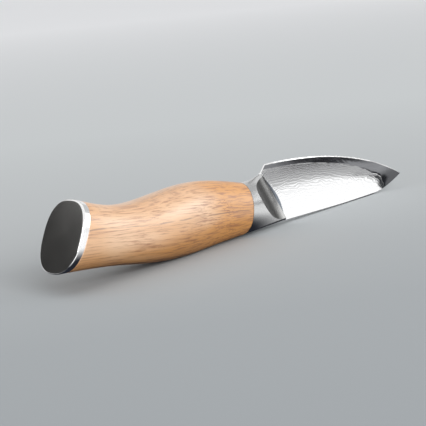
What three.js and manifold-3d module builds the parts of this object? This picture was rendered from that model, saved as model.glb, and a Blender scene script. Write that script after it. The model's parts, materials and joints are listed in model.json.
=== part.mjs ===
// Paring knife: a layered steel blade, a hollow-ground bolster, a wooden handle and a steel end cap.
// A threaded rod inside the handle draws the wood up against the bolster. Sizes are in millimetres.
//
// Drawing frame: X runs from the butt to the point and is zero at the heel, Y runs across the blade,
// Z runs from the spine to the cutting edge and is zero on the straight part of the spine.
// The finished knife stands on its spine side, edge up, and its origin is under the middle of its box.
import * as THREE from 'three';
import { mergeVertices } from 'three/addons/utils/BufferGeometryUtils.js';
import Module from 'manifold-3d';

const wasm = await Module();
wasm.setup();

// Blade outline
const bladeLength = 89; // heel to point, the common 3.5 inch blade
const heelHeight = 22.8; // spine to heel corner
const pointHeight = 5.6; // point above the line of the straight spine
const spineCurve = 27; // length of spine that curves up to the point
const edgeHeelReach = 35; // the edge leaves the heel towards this distance
const edgeHeelRise = 0.2; // and this much higher than the heel
const edgePointReach = 19; // the edge comes to the point from this far behind it
const edgePointRise = 10.4; // and this much above it
const choilRun = 3.3; // the choil leans back from the heel by this much
const choilDrop = 3.4; // and meets the bolster this far below the heel

// Blade layers
const spineThickness = 1.9;
const coreThickness = 0.6;
const edgeThickness = 0.1;
const claddingEdge = 0.05; // thickness left where the cladding ends on the core
const coreStrip = 1.9; // bare core below the edge at the heel
const corePoint = 12.5; // bare core at the point, along the spine
const coreLineReach = 38; // the cladding line leaves the heel towards this distance
const coreLineDrop = 0.4; // and this much lower
const coreLineTurn = 7.5; // it comes to the spine from this far behind its end
const coreLineLift = 12; // and this much above it
const leastStrip = 0.4; // no layer is narrower than this between spine and edge

// Ricasso, root and stub tang, which run back into the bolster and the handle
const ricassoSpine = 4.6; // width of the full-thickness strip in front of the bolster, at the spine
const ricassoChoil = 1; // the same along the choil
const rootBase = 2; // root above the spine, inside the bolster
const rootHeight = 12.5;
const rootDepth = 10; // root behind the heel
const tangHeight = 6.5;
const tangDepth = 17.6; // stub tang behind the seam between bolster and wood

// Bolster
const bolsterSpineReach = 8.8; // front of the bolster ahead of the heel, on the spine
const bolsterFrontWidth = 8.5; // its width at the front before the hollow grind
const bolsterDipReach = 5.4; // its edge side dips this far behind the choil
const bolsterDip = 2; // and this far below it
const hollowRadius = 18; // of the wheel that hollows each side
const hollowStart = THREE.MathUtils.degToRad(5.5); // slope of the hollow where it meets the lip
const lip = 0.3; // the bolster stands proud of the ricasso by this much
const heelToSeam = 16.4; // heel to the seam between bolster and wood, along the middle of the handle

// Handle, by sections: distance behind the seam, centre above the spine line, height and width
const handleLength = 89.2; // seam to butt, with the end cap
const shoulderAt = 13.4;
const swellAt = 31.2;
const gripAt = 49;
const waistAt = 66.9;
const seamCentre = 8.7;
const shoulderCentre = 9.8;
const swellCentre = 10.3;
const gripCentre = 10.3;
const waistCentre = 11.4;
const buttCentre = 15.1;
const seamHeight = 19.3;
const shoulderHeight = 22.6;
const swellHeight = 25.6;
const gripHeight = 23.6;
const waistHeight = 20.9;
const buttHeight = 25.3;
const seamWidth = 13.9;
const shoulderWidth = 15.4;
const swellWidth = 18.6;
const gripWidth = 20;
const waistWidth = 18.2;
const buttWidth = 17.9;
const seamSquareness = 2.1; // superellipse power of the section, where 2 is an ellipse
const buttSquareness = 2.5;
const seamSlant = THREE.MathUtils.degToRad(5.8); // the edge side of the seam leans forward
const buttSlant = THREE.MathUtils.degToRad(25.7); // and the butt leans the same way, further

// End cap
const capThickness = 2.9; // along the handle
const capRim = 0.4; // chamfer round the butt face
const pegDiameter = 2.5;
const pegSpacing = 15.2;
const pegDepth = 5; // into the wood

// Tang fastening, along the line from the middle of the seam to the middle of the butt
const pocketDiameter = 9.6; // hole in the front of the handle that takes the stub tang
const pocketDepth = 21;
const rodDiameter = 5;
const rodLap = 10; // the rod's slot overlaps the stub tang by this much
const rodProud = 1; // rod end past the nut
const rodHoleDiameter = 6;
const seatDepth = 11.5; // bottom of the counterbore ahead of the end cap
const counterboreDiameter = 10.6;
const washerDiameter = 10;
const washerThickness = 1;
const nutAcrossFlats = 8;
const nutHeight = 4;
const beddingSetback = 0.4; // resin below the front of the wood

// Clearances
const bondGap = 0.15; // glue, resin or braze between two pieces
const seatGap = 0.1; // between pieces that bear on each other

// Fineness of the curved surfaces
const ringPoints = 40;
const handleRings = 30;
const bolsterRings = 10;
const bladeSections = 30;
const choilSections = 3;
const roundSides = 32;
const wheelSides = 120;
const slab = 200; // size of a cutting block, larger than any piece that it cuts

const halfSpine = spineThickness / 2;
const halfCore = coreThickness / 2;
const halfEdge = edgeThickness / 2;
const seamX = -heelToSeam;
const capJoint = handleLength - capThickness;
const claddingEnd = bladeLength - corePoint;

// A closed surface as a solid that can be joined and cut
function toSolid(geometry) {
  const bare = geometry.clone();
  bare.deleteAttribute('normal');
  bare.deleteAttribute('uv');
  const merged = mergeVertices(bare, 1e-5);
  const vertProperties = new Float32Array(merged.attributes.position.array);
  const triVerts = new Uint32Array(merged.index.array);
  return new wasm.Manifold(new wasm.Mesh({ numProp: 3, vertProperties, triVerts }));
}

// A solid as a flat-shaded surface
function toGeometry(solid) {
  const { vertProperties, triVerts } = solid.getMesh();
  const indexed = new THREE.BufferGeometry();
  indexed.setAttribute('position', new THREE.BufferAttribute(vertProperties, 3));
  indexed.setIndex(new THREE.BufferAttribute(triVerts, 1));
  const geometry = indexed.toNonIndexed();
  geometry.computeVertexNormals();
  return geometry;
}

// The middle of a ring of points
function middleOf(ring) {
  const sum = new THREE.Vector3();
  ring.forEach((point) => sum.add(point));
  return sum.divideScalar(ring.length);
}

// A closed solid through rings of equal counts; its ends close on a middle point or on a given apex
function loft(rings, apex = middleOf(rings.at(-1))) {
  const count = rings[0].length;
  const points = [...rings.flat(), middleOf(rings[0]), apex];
  const first = rings.length * count;
  const last = first + 1;
  const faces = [];
  for (let side = 0; side < count; side += 1) {
    const next = (side + 1) % count;
    const end = first - count;
    faces.push(first, next, side, last, end + side, end + next);
    for (let ring = 0; ring + 1 < rings.length; ring += 1) {
      const near = ring * count;
      const far = near + count;
      faces.push(near + side, near + next, far + side, near + next, far + next, far + side);
    }
  }
  let volume = 0;
  for (let face = 0; face < faces.length; face += 3) {
    const [a, b, c] = [points[faces[face]], points[faces[face + 1]], points[faces[face + 2]]];
    volume += a.dot(new THREE.Vector3().crossVectors(b, c));
  }
  const geometry = new THREE.BufferGeometry().setFromPoints(points);
  geometry.setIndex(volume < 0 ? faces.reverse() : faces);
  return toSolid(geometry);
}

// A flat plate between two distances across the blade, from its side outline
function plate(outline, nearSide, farSide) {
  const shape = new THREE.Shape(outline);
  const geometry = new THREE.ExtrudeGeometry(shape, { depth: farSide - nearSide, bevelEnabled: false });
  geometry.rotateX(Math.PI / 2);
  geometry.translate(0, farSide, 0);
  return toSolid(geometry);
}

// A rectangular block between two corners
function block(low, high) {
  const size = new THREE.Vector3().subVectors(high, low);
  const middle = new THREE.Vector3().addVectors(low, high).divideScalar(2);
  const geometry = new THREE.BoxGeometry(size.x, size.y, size.z);
  geometry.translate(middle.x, middle.y, middle.z);
  return toSolid(geometry);
}

// A smooth curve through values at given distances: a cubic spline with free ends
function smoothCurve(distances, values) {
  const last = distances.length - 1;
  const bend = new Array(last + 1).fill(0);
  const carried = new Array(last + 1).fill(0);
  for (let i = 1; i < last; i += 1) {
    const before = distances[i] - distances[i - 1];
    const after = distances[i + 1] - distances[i];
    const change = (values[i + 1] - values[i]) / after - (values[i] - values[i - 1]) / before;
    const pivot = 2 * (before + after) - before * carried[i - 1];
    carried[i] = after / pivot;
    bend[i] = (6 * change - before * bend[i - 1]) / pivot;
  }
  for (let i = last - 1; i > 0; i -= 1) {
    bend[i] -= carried[i] * bend[i + 1];
  }
  return (distance) => {
    let i = 1;
    while (i < last && distance > distances[i]) i += 1;
    const span = distances[i] - distances[i - 1];
    const rest = (distances[i] - distance) / span;
    const gone = 1 - rest;
    const curved = (rest ** 3 - rest) * bend[i - 1] + (gone ** 3 - gone) * bend[i];
    return rest * values[i - 1] + gone * values[i] + (curved * span ** 2) / 6;
  };
}

// A superellipse ring in a plane that leans by the slant; X and Z give its middle
function sectionRing({ x, z, halfHeight, halfWidth, slant, squareness }) {
  const ring = [];
  for (let i = 0; i < ringPoints; i += 1) {
    const angle = (i / ringPoints) * 2 * Math.PI;
    const across = Math.sign(Math.cos(angle)) * Math.abs(Math.cos(angle)) ** (2 / squareness);
    const along = Math.sign(Math.sin(angle)) * Math.abs(Math.sin(angle)) ** (2 / squareness);
    const height = along * halfHeight;
    ring.push(new THREE.Vector3(x + height * Math.sin(slant), across * halfWidth, z + height * Math.cos(slant)));
  }
  return ring;
}

// Sections of the handle by distance behind the seam
const stations = [0, shoulderAt, swellAt, gripAt, waistAt, handleLength];
const centres = [seamCentre, shoulderCentre, swellCentre, gripCentre, waistCentre, buttCentre];
const heights = [seamHeight, shoulderHeight, swellHeight, gripHeight, waistHeight, buttHeight];
const widths = [seamWidth, shoulderWidth, swellWidth, gripWidth, waistWidth, buttWidth];
const centreAt = smoothCurve(stations, centres);
const heightAt = smoothCurve(stations, heights);
const widthAt = smoothCurve(stations, widths);

function handleSection(distance, inset = 0) {
  const { lerp } = THREE.MathUtils;
  return {
    x: seamX - distance,
    z: centreAt(distance),
    halfHeight: heightAt(distance) / 2 - inset,
    halfWidth: widthAt(distance) / 2 - inset,
    slant: lerp(seamSlant, buttSlant, Math.min(distance / capJoint, 1)),
    squareness: lerp(seamSquareness, buttSquareness, distance / handleLength),
  };
}

// Side outline of the blade, as X and Z in a flat drawing
const heel = new THREE.Vector2(0, heelHeight);
const point = new THREE.Vector2(bladeLength, pointHeight);
const choilFoot = new THREE.Vector2(-choilRun, heelHeight - choilDrop);
const bolsterToe = new THREE.Vector2(bolsterSpineReach, 0);
const edgeCurve = new THREE.CubicBezierCurve(
  heel,
  new THREE.Vector2(edgeHeelReach, heelHeight + edgeHeelRise),
  new THREE.Vector2(bladeLength - edgePointReach, pointHeight + edgePointRise),
  point,
);

function spineHeight(x) {
  const curved = Math.max(x - (bladeLength - spineCurve), 0) / spineCurve;
  return pointHeight * curved ** 2;
}

const claddingStart = heelHeight - coreStrip;
const claddingStop = spineHeight(claddingEnd);
const claddingLine = new THREE.CubicBezierCurve(
  new THREE.Vector2(0, claddingStart),
  new THREE.Vector2(coreLineReach, claddingStart - coreLineDrop),
  new THREE.Vector2(claddingEnd - coreLineTurn, claddingStop + coreLineLift),
  new THREE.Vector2(claddingEnd, claddingStop),
);

// Height of a side curve at a distance along the blade
function heightOn(curve, x) {
  let low = 0;
  let high = 1;
  while (high - low > 1e-9) {
    const middle = (low + high) / 2;
    if (curve.getPoint(middle).x < x) low = middle;
    else high = middle;
  }
  return curve.getPoint(high).y;
}

// Spine, cladding line and edge at one distance along the blade, with the half thickness of each layer
function bladeSection(x) {
  const spine = spineHeight(x);
  const onChoil = Math.max(-x / choilRun, 0);
  const edge = x < 0 ? heelHeight - choilDrop * onChoil : heightOn(edgeCurve, x);
  const strip = Math.min(leastStrip, (edge - spine) / 3);
  const line = x < claddingEnd ? heightOn(claddingLine, Math.max(x, 0)) : spine;
  const thinning = Math.max(x - claddingEnd, 0) / corePoint;
  const wear = 1 - (Math.max(x, 0) / claddingEnd) ** 2;
  return {
    x,
    spine,
    edge,
    line: THREE.MathUtils.clamp(line, spine + strip, edge - strip),
    coreHalf: THREE.MathUtils.lerp(halfCore, halfEdge, thinning),
    edgeHalf: THREE.MathUtils.lerp(halfEdge, halfCore, onChoil),
    claddingHalf: halfCore + Math.max((halfSpine - halfCore) * wear, claddingEdge),
  };
}

// Distances of the blade's sections, closer together towards their end
function sectionDistances(end) {
  const distances = [];
  for (let i = 0; i < choilSections; i += 1) {
    distances.push(-choilRun * (1 - i / choilSections));
  }
  for (let i = 0; i <= bladeSections; i += 1) {
    distances.push(end * Math.sin((i / bladeSections) * (Math.PI / 2)));
  }
  return distances;
}

// Block that fills everything behind (-1) or ahead (+1) of the bolster's slanted front
const frontAngle = Math.atan2(bolsterToe.x - choilFoot.x, choilFoot.y - bolsterToe.y);

function frontBlock(direction, shift) {
  const geometry = new THREE.BoxGeometry(slab, slab, slab);
  geometry.translate((direction * slab) / 2 + shift, 0, 0);
  geometry.rotateY(-frontAngle);
  geometry.translate(bolsterToe.x, 0, 0);
  return toSolid(geometry);
}

function frontX(z) {
  return bolsterToe.x - z * Math.tan(frontAngle);
}

// Line of the tang: from the middle of the seam to the middle of the butt
const tangAngle = Math.atan2(buttCentre - seamCentre, handleLength);
const tangPlace = new THREE.Matrix4().makeRotationY(tangAngle).setPosition(seamX, 0, seamCentre);
const tangCentre = seamCentre + (Math.tan(tangAngle) * tangDepth) / 2;
const tangEnd = seamX - tangDepth;
const tangLow = tangCentre - tangHeight / 2;
const tangHigh = tangCentre + tangHeight / 2;
const rootTop = rootBase + rootHeight;

// A round bar on the tang's line, between two distances behind the seam, moved up or down from the line
function tangBar(diameter, from, to, offset = 0, sides = roundSides) {
  const geometry = new THREE.CylinderGeometry(diameter / 2, diameter / 2, to - from, sides);
  geometry.rotateZ(Math.PI / 2);
  geometry.translate(-(from + to) / 2, 0, offset);
  return toSolid(geometry.applyMatrix4(tangPlace));
}

// Side outline of the ricasso, root and stub tang, which all three layers share
function rootOutline() {
  const choil = new THREE.Vector2().subVectors(heel, choilFoot).normalize();
  return [
    bolsterToe,
    new THREE.Vector2(bolsterToe.x + ricassoSpine, 0),
    choilFoot.clone().addScaledVector(choil, ricassoChoil),
    choilFoot,
    new THREE.Vector2(frontX(rootTop), rootTop),
    new THREE.Vector2(-rootDepth, rootTop),
    new THREE.Vector2(-rootDepth, tangHigh),
    new THREE.Vector2(tangEnd, tangHigh),
    new THREE.Vector2(tangEnd, tangLow),
    new THREE.Vector2(-rootDepth, tangLow),
    new THREE.Vector2(-rootDepth, rootBase),
    new THREE.Vector2(frontX(rootBase), rootBase),
  ];
}

function buildBladeCore() {
  const rings = [];
  sectionDistances(bladeLength).slice(0, -1).forEach((x) => {
    const { spine, line, edge, coreHalf, edgeHalf } = bladeSection(x);
    rings.push([
      new THREE.Vector3(x, -coreHalf, spine),
      new THREE.Vector3(x, coreHalf, spine),
      new THREE.Vector3(x, coreHalf, line),
      new THREE.Vector3(x, edgeHalf, edge),
      new THREE.Vector3(x, -edgeHalf, edge),
      new THREE.Vector3(x, -coreHalf, line),
    ]);
  });
  const blade = loft(rings, new THREE.Vector3(point.x, 0, point.y));
  return blade.subtract(frontBlock(-1, 0)).add(plate(rootOutline(), -halfCore, halfCore));
}

// Side is -1 for the left face and +1 for the right face, with the knife in use, edge down
function buildCladding(side) {
  const rings = [];
  sectionDistances(claddingEnd).forEach((x) => {
    const { spine, line, claddingHalf } = bladeSection(x);
    rings.push([
      new THREE.Vector3(x, side * halfCore, spine),
      new THREE.Vector3(x, side * claddingHalf, spine),
      new THREE.Vector3(x, side * (halfCore + claddingEdge), line),
      new THREE.Vector3(x, side * halfCore, line),
    ]);
  });
  const faces = [side * halfCore, side * halfSpine].sort((a, b) => a - b);
  const root = plate(rootOutline(), faces[0], faces[1]);
  return loft(rings).subtract(frontBlock(-1, 0)).add(root);
}

function buildBolster() {
  const seam = handleSection(0);
  const reach = new THREE.Vector2(Math.sin(seam.slant), Math.cos(seam.slant)).multiplyScalar(seam.halfHeight);
  const middle = new THREE.Vector2(seam.x, seam.z);
  const dip = new THREE.Vector2(choilFoot.x - bolsterDipReach, choilFoot.y - bolsterDip);
  const edgeSide = new THREE.QuadraticBezierCurve(middle.clone().add(reach), dip, choilFoot);
  const spineSide = new THREE.LineCurve(middle.clone().sub(reach), bolsterToe);
  const rings = [];
  for (let i = 0; i <= bolsterRings; i += 1) {
    const along = i / bolsterRings;
    const high = edgeSide.getPoint(along);
    const low = spineSide.getPoint(along);
    rings.push(sectionRing({
      x: (high.x + low.x) / 2,
      z: (high.y + low.y) / 2,
      halfHeight: high.distanceTo(low) / 2,
      halfWidth: THREE.MathUtils.lerp(seamWidth, bolsterFrontWidth, along) / 2,
      slant: Math.atan2(high.x - low.x, high.y - low.y),
      squareness: seamSquareness,
    }));
  }
  const slotHalf = halfSpine + bondGap;
  const rootSlot = block(
    new THREE.Vector3(-rootDepth - bondGap, -slotHalf, rootBase - bondGap),
    new THREE.Vector3(bladeLength, slotHalf, rootTop + bondGap),
  );
  const tangSlot = block(
    new THREE.Vector3(tangEnd, -slotHalf, tangLow - bondGap),
    new THREE.Vector3(-rootDepth, slotHalf, tangHigh + bondGap),
  );
  let body = loft(rings).subtract(frontBlock(1, -bondGap));
  [-1, 1].forEach((side) => {
    const wheel = new THREE.CylinderGeometry(hollowRadius, hollowRadius, slab, wheelSides);
    wheel.rotateX(Math.PI / 2);
    wheel.translate(hollowRadius * Math.sin(hollowStart), 0, 0);
    wheel.rotateY(-frontAngle);
    wheel.translate(bolsterToe.x, side * (halfSpine + lip + hollowRadius * Math.cos(hollowStart)), 0);
    body = body.subtract(toSolid(wheel));
  });
  return body.subtract(rootSlot).subtract(tangSlot);
}

// Distance along the tang's line to the wood's rear face, for a bar moved off the line
function capPlane(offset) {
  return capJoint / Math.cos(tangAngle) - offset * Math.tan(buttSlant - tangAngle);
}

const seatAt = capPlane(0) - seatDepth;

function buildHandle() {
  const front = bondGap;
  const rear = capJoint - bondGap;
  const rings = [];
  for (let i = 0; i <= handleRings; i += 1) {
    rings.push(sectionRing(handleSection(THREE.MathUtils.lerp(front, rear, i / handleRings))));
  }
  const cuts = [
    tangBar(pocketDiameter, -pocketDepth, pocketDepth),
    tangBar(rodHoleDiameter, 0, handleLength),
    tangBar(counterboreDiameter, seatAt, seatAt + handleLength),
  ];
  [-1, 1].forEach((side) => {
    const offset = (side * pegSpacing) / 2;
    const bottom = capPlane(offset) - pegDepth - bondGap;
    cuts.push(tangBar(pegDiameter + 2 * bondGap, bottom, bottom + handleLength, offset));
  });
  return cuts.reduce((wood, cut) => wood.subtract(cut), loft(rings));
}

function buildEndCap() {
  const sections = [
    handleSection(capJoint),
    handleSection(capJoint + capThickness / 2),
    handleSection(handleLength - capRim),
    handleSection(handleLength, capRim),
  ];
  const plateBody = loft(sections.map(sectionRing));
  const middle = handleSection(capJoint + capThickness / 2);
  const behind = new THREE.BoxGeometry(slab, slab, slab);
  behind.translate(-slab / 2, 0, 0);
  behind.rotateY(buttSlant);
  behind.translate(middle.x, 0, middle.z);
  return [-1, 1].reduce((cap, side) => {
    const offset = (side * pegSpacing) / 2;
    const tip = capPlane(offset) - pegDepth;
    const peg = tangBar(pegDiameter, tip, tip + handleLength, offset);
    return cap.add(peg.subtract(toSolid(behind)));
  }, plateBody);
}

// The tang fastening stacks up from the bottom of the counterbore
const washerFrom = seatAt + seatGap;
const washerTo = washerFrom + washerThickness;
const nutFrom = washerTo + seatGap;
const nutTo = nutFrom + nutHeight;
const rodFrom = tangDepth - rodLap;
const rodTo = nutTo + rodProud;

function stubTang(clearance) {
  const half = halfSpine + clearance;
  return block(
    new THREE.Vector3(tangEnd - clearance, -half, tangLow - clearance),
    new THREE.Vector3(0, half, tangHigh + clearance),
  );
}

function buildTangRod() {
  return tangBar(rodDiameter, rodFrom, rodTo).subtract(stubTang(bondGap));
}

function buildTangBedding() {
  const plug = tangBar(pocketDiameter - 2 * bondGap, beddingSetback, pocketDepth - bondGap);
  const rod = tangBar(rodDiameter + 2 * bondGap, rodFrom - bondGap, handleLength);
  return plug.subtract(rod).subtract(stubTang(bondGap));
}

function buildTangWasher() {
  const ring = tangBar(washerDiameter, washerFrom, washerTo);
  return ring.subtract(tangBar(rodDiameter + 2 * bondGap, 0, handleLength));
}

function buildTangNut() {
  const hexagonSides = 6;
  const acrossCorners = nutAcrossFlats / Math.cos(Math.PI / hexagonSides);
  const hexagon = tangBar(acrossCorners, nutFrom, nutTo, 0, hexagonSides);
  return hexagon.subtract(tangBar(rodDiameter + 2 * bondGap, 0, handleLength));
}

const coreSteel = { color: 0xb9bcc0, roughness: 0.22, metalness: 1 };
const layeredSteel = { color: 0xc4c7ca, roughness: 0.3, metalness: 1 };
const polishedSteel = { color: 0xcfd2d5, roughness: 0.15, metalness: 1 };
const satinSteel = { color: 0xc8cacc, roughness: 0.35, metalness: 1 };
const plainSteel = { color: 0x9a9da0, roughness: 0.45, metalness: 1 };
const oiledWood = { color: 0xc4935f, roughness: 0.5, metalness: 0 };
const curedResin = { color: 0xb7a06a, roughness: 0.6, metalness: 0 };

const knife = new THREE.Group();

function addPiece(name, solid, finish) {
  const mesh = new THREE.Mesh(toGeometry(solid), new THREE.MeshStandardMaterial(finish));
  mesh.name = name;
  knife.add(mesh);
}

addPiece('blade_core', buildBladeCore(), coreSteel);
addPiece('left_cladding', buildCladding(-1), layeredSteel);
addPiece('right_cladding', buildCladding(1), layeredSteel);
addPiece('bolster', buildBolster(), polishedSteel);
addPiece('handle', buildHandle(), oiledWood);
addPiece('end_cap', buildEndCap(), satinSteel);
addPiece('tang_rod', buildTangRod(), plainSteel);
addPiece('tang_bedding', buildTangBedding(), curedResin);
addPiece('tang_washer', buildTangWasher(), plainSteel);
addPiece('tang_nut', buildTangNut(), plainSteel);

// Pitch at which the belly of the handle and the spine of the blade rest on one level
function restPitch() {
  const corners = [];
  knife.children.forEach((mesh) => {
    const { position } = mesh.geometry.attributes;
    for (let i = 0; i < position.count; i += 1) {
      corners.push(new THREE.Vector2(position.getX(i), position.getZ(i)));
    }
  });
  const level = (corner, pitch) => corner.y * Math.cos(pitch) - corner.x * Math.sin(pitch);
  const lowest = (list, pitch) => list.reduce((a, b) => (level(b, pitch) < level(a, pitch) ? b : a));
  const underHandle = corners.filter((corner) => corner.x < seamX);
  const underBlade = corners.filter((corner) => corner.x > bolsterToe.x);
  const rounds = 8;
  let pitch = 0;
  for (let round = 0; round < rounds; round += 1) {
    const belly = lowest(underHandle, pitch);
    const spine = lowest(underBlade, pitch);
    pitch = Math.atan2(spine.y - belly.y, spine.x - belly.x);
  }
  return pitch;
}

knife.rotation.y = restPitch();
knife.updateMatrixWorld(true);
const box = new THREE.Box3().setFromObject(knife, true);
knife.position.set(-(box.min.x + box.max.x) / 2, 0, -box.min.z);

export default knife;
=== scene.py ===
"""Paring knife, dressed for its render.

A layered blade, a hollow-ground bolster, a wooden handle and a slanted steel end cap, with the fastening
of the tang inside the wood. The knife is drawn in millimetres: X runs from the heel to the point, Y across
the blade and Z from the spine to the cutting edge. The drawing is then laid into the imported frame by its
butt face.
"""

import json
import logging
import math
from dataclasses import dataclass, field
from enum import Enum
from typing import Any

import bmesh
import bpy
import numpy as np
from bpy.types import Material, Mesh, Node, NodeSocket, NodeTree, Object
from mathutils import Matrix, Vector


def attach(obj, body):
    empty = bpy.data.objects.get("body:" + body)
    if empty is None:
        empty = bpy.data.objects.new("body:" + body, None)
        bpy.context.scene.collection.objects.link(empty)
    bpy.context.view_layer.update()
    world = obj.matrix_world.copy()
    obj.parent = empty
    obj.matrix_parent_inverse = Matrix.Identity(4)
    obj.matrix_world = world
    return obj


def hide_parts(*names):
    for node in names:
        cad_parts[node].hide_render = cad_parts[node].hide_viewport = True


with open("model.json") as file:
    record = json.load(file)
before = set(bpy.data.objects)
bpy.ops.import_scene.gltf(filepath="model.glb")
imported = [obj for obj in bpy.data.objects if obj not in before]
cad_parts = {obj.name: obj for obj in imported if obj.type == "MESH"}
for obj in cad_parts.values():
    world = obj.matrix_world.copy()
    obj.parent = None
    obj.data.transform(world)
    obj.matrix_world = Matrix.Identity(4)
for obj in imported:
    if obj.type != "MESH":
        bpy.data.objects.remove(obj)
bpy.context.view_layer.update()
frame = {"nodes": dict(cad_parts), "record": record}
LOG = logging.getLogger("paring_knife")
MM = 0.001
BODY = "root"
# Small move that keeps the dressed knife inside the box of its solids, in metres.
INSIDE = Vector((-1e-6, 0.0, 1.5e-6))
# Points closer than this become one: in millimetres on a skin and a patchwork, in metres on a finished loft.
SKIN_MERGE = 1e-4
PATCH_MERGE = 1e-3
LOFT_MERGE = 2e-6
# Values or sockets for a node's inputs, by their names or numbers.
Feeds = dict[Any, Any]
# Numbers along X, Y and Z, or a linear colour.
Triple = tuple[float, float, float]


class Side(Enum):
    """Face of the blade, with the knife in use and its edge down."""

    LEFT = -1
    RIGHT = 1


class Slot(Enum):
    """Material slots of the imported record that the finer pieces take."""

    CORE = "core_steel"
    LAYERS = "layered_steel"
    POLISHED = "polished_steel"
    WOOD = "oiled_wood"
    SATIN = "satin_steel"
    PLAIN = "plain_steel"


class Tool(Enum):
    """Shape that is cut out of a piece or joined to it."""

    ROUND = "GeometryNodeMeshCylinder"
    SQUARE = "GeometryNodeMeshCube"


class Steps:
    """Adds nodes to a tree one step at a time and wires them up."""

    def __init__(self, tree: NodeTree) -> None:
        """Keeps the tree that the steps go into."""
        self.tree = tree

    def add(self, kind: str, feeds: Feeds | None = None, **choices: Any) -> Node:
        """Adds one node.

        Args:
            kind: Blender's name of the node.
            feeds: values or sockets for its inputs, by name or number.
            choices: the node's own settings.

        Returns:
            The new node.
        """
        node = self.tree.nodes.new(kind)
        for name, value in choices.items():
            setattr(node, name, value)
        for key, value in (feeds or {}).items():
            self.feed(node.inputs[key], value)
        return node

    def feed(self, socket: NodeSocket, value: Any) -> None:
        """Links a socket to another one, or sets its value.

        Args:
            socket: the input socket.
            value: the other socket, or the value.
        """
        if isinstance(value, NodeSocket):
            self.tree.links.new(value, socket)
        else:
            socket.default_value = value

    def math(self, operation: str, *values: Any) -> NodeSocket:
        """Adds a sum of numbers and gives its result."""
        return self.add("ShaderNodeMath", dict(enumerate(values)), operation=operation).outputs[0]

    def vector(self, operation: str, *values: Any) -> NodeSocket:
        """Adds a sum of vectors and gives its vector."""
        return self.add("ShaderNodeVectorMath", dict(enumerate(values)), operation=operation).outputs[0]

    def span(self, value: Any, low: float, high: float, start: float = 0.0, end: float = 1.0) -> NodeSocket:
        """Maps a number from one span to another, smoothly and within its ends.

        Args:
            value: the number.
            low: where the first span starts.
            high: where it ends.
            start: where the second span starts.
            end: where it ends.

        Returns:
            The mapped number.
        """
        feeds = {0: value, 1: low, 2: high, 3: start, 4: end}
        return self.add("ShaderNodeMapRange", feeds, interpolation_type="SMOOTHSTEP").outputs[0]

    def colours(self, value: Any, stops: dict[float, tuple[float, ...]]) -> NodeSocket:
        """Turns a number into a colour.

        Args:
            value: the number, from 0 to 1.
            stops: linear colours by their place.

        Returns:
            The colour.
        """
        ramp = self.add("ShaderNodeValToRGB", {0: value})
        elements = ramp.color_ramp.elements
        for place in sorted(stops)[2:]:
            elements.new(place)
        for element, place in zip(elements, sorted(stops)):
            element.position = place
            element.color = (*stops[place], 1.0)
        return ramp.outputs[0]

    def mixed(self, share: Any, first: Any, second: Any) -> NodeSocket:
        """Mixes two colours by a share and gives the result."""
        return self.add("ShaderNodeMix", {0: share, 6: first, 7: second}, data_type="RGBA").outputs[2]

    def measure(self, operation: str, first: Any, second: Any) -> NodeSocket:
        """Adds a sum of two vectors and gives its number."""
        feeds = {0: first, 1: second}
        return self.add("ShaderNodeVectorMath", feeds, operation=operation).outputs["Value"]

    def place(self) -> NodeSocket:
        """Gives the object coordinates."""
        return self.add("ShaderNodeTexCoord").outputs["Object"]

    def split(self, vector: NodeSocket) -> tuple[NodeSocket, ...]:
        """Gives the three parts of a vector."""
        return tuple(self.add("ShaderNodeSeparateXYZ", {0: vector}).outputs)

    def group(self, tree: NodeTree, feeds: Feeds) -> NodeSocket:
        """Places a shader group with its own values and gives its output."""
        return self.add("ShaderNodeGroup", feeds, node_tree=tree).outputs[0]


def new_group(name: str, kind: str, inputs: dict[str, str],
              output: tuple[str, str]) -> tuple[Steps, Node, Node]:
    """Starts a node group with named inputs and one output.

    Args:
        name: the group's name.
        kind: Blender's kind of tree.
        inputs: kind of each input, by its name.
        output: name and kind of the output.

    Returns:
        The steps of the tree, its input node and its output node.
    """
    tree = bpy.data.node_groups.new(name, kind)
    sockets = [(label, "INPUT", socket) for label, socket in inputs.items()]
    for label, way, socket in [*sockets, (output[0], "OUTPUT", output[1])]:
        tree.interface.new_socket(name=label, in_out=way, socket_type=f"NodeSocket{socket}")
    steps = Steps(tree)
    return steps, steps.add("NodeGroupInput"), steps.add("NodeGroupOutput")


@dataclass(frozen=True)
class Section:
    """One superellipse section of a lofted piece, in millimetres.

    Attributes:
        x: place of its middle along the knife.
        z: place of its middle above the spine line.
        half_height: half of its height, along its slant.
        half_width: half of its width.
        slant: lean of its plane towards the point, in radians.
        power: power of the superellipse, where 2 is an ellipse.
        turns: turns of a screw thread up to here.
        cut: depth of that thread, as a share of the size.
    """

    x: float
    z: float
    half_height: float
    half_width: float
    slant: float
    power: float
    turns: float = 0.0
    cut: float = 0.0

    def shrunk(self, share: float) -> "Section":
        """Gives the same section at a share of its size."""
        height, width = self.half_height * share, self.half_width * share
        return Section(self.x, self.z, height, width, self.slant, self.power)


@dataclass(frozen=True)
class Cutter:
    """A tool at its place in the drawing, in millimetres.

    Attributes:
        name: what it makes.
        tool: its shape.
        size: its size along its own axes.
        place: its middle.
        turn: its turn about Y, in radians.
        lean: its lean to the side before that turn, in radians.
        marked: whether its faces get the second material.
    """

    name: str
    tool: Tool
    size: Triple
    place: Triple
    turn: float = 0.0
    lean: float = 0.0
    marked: bool = False


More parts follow.
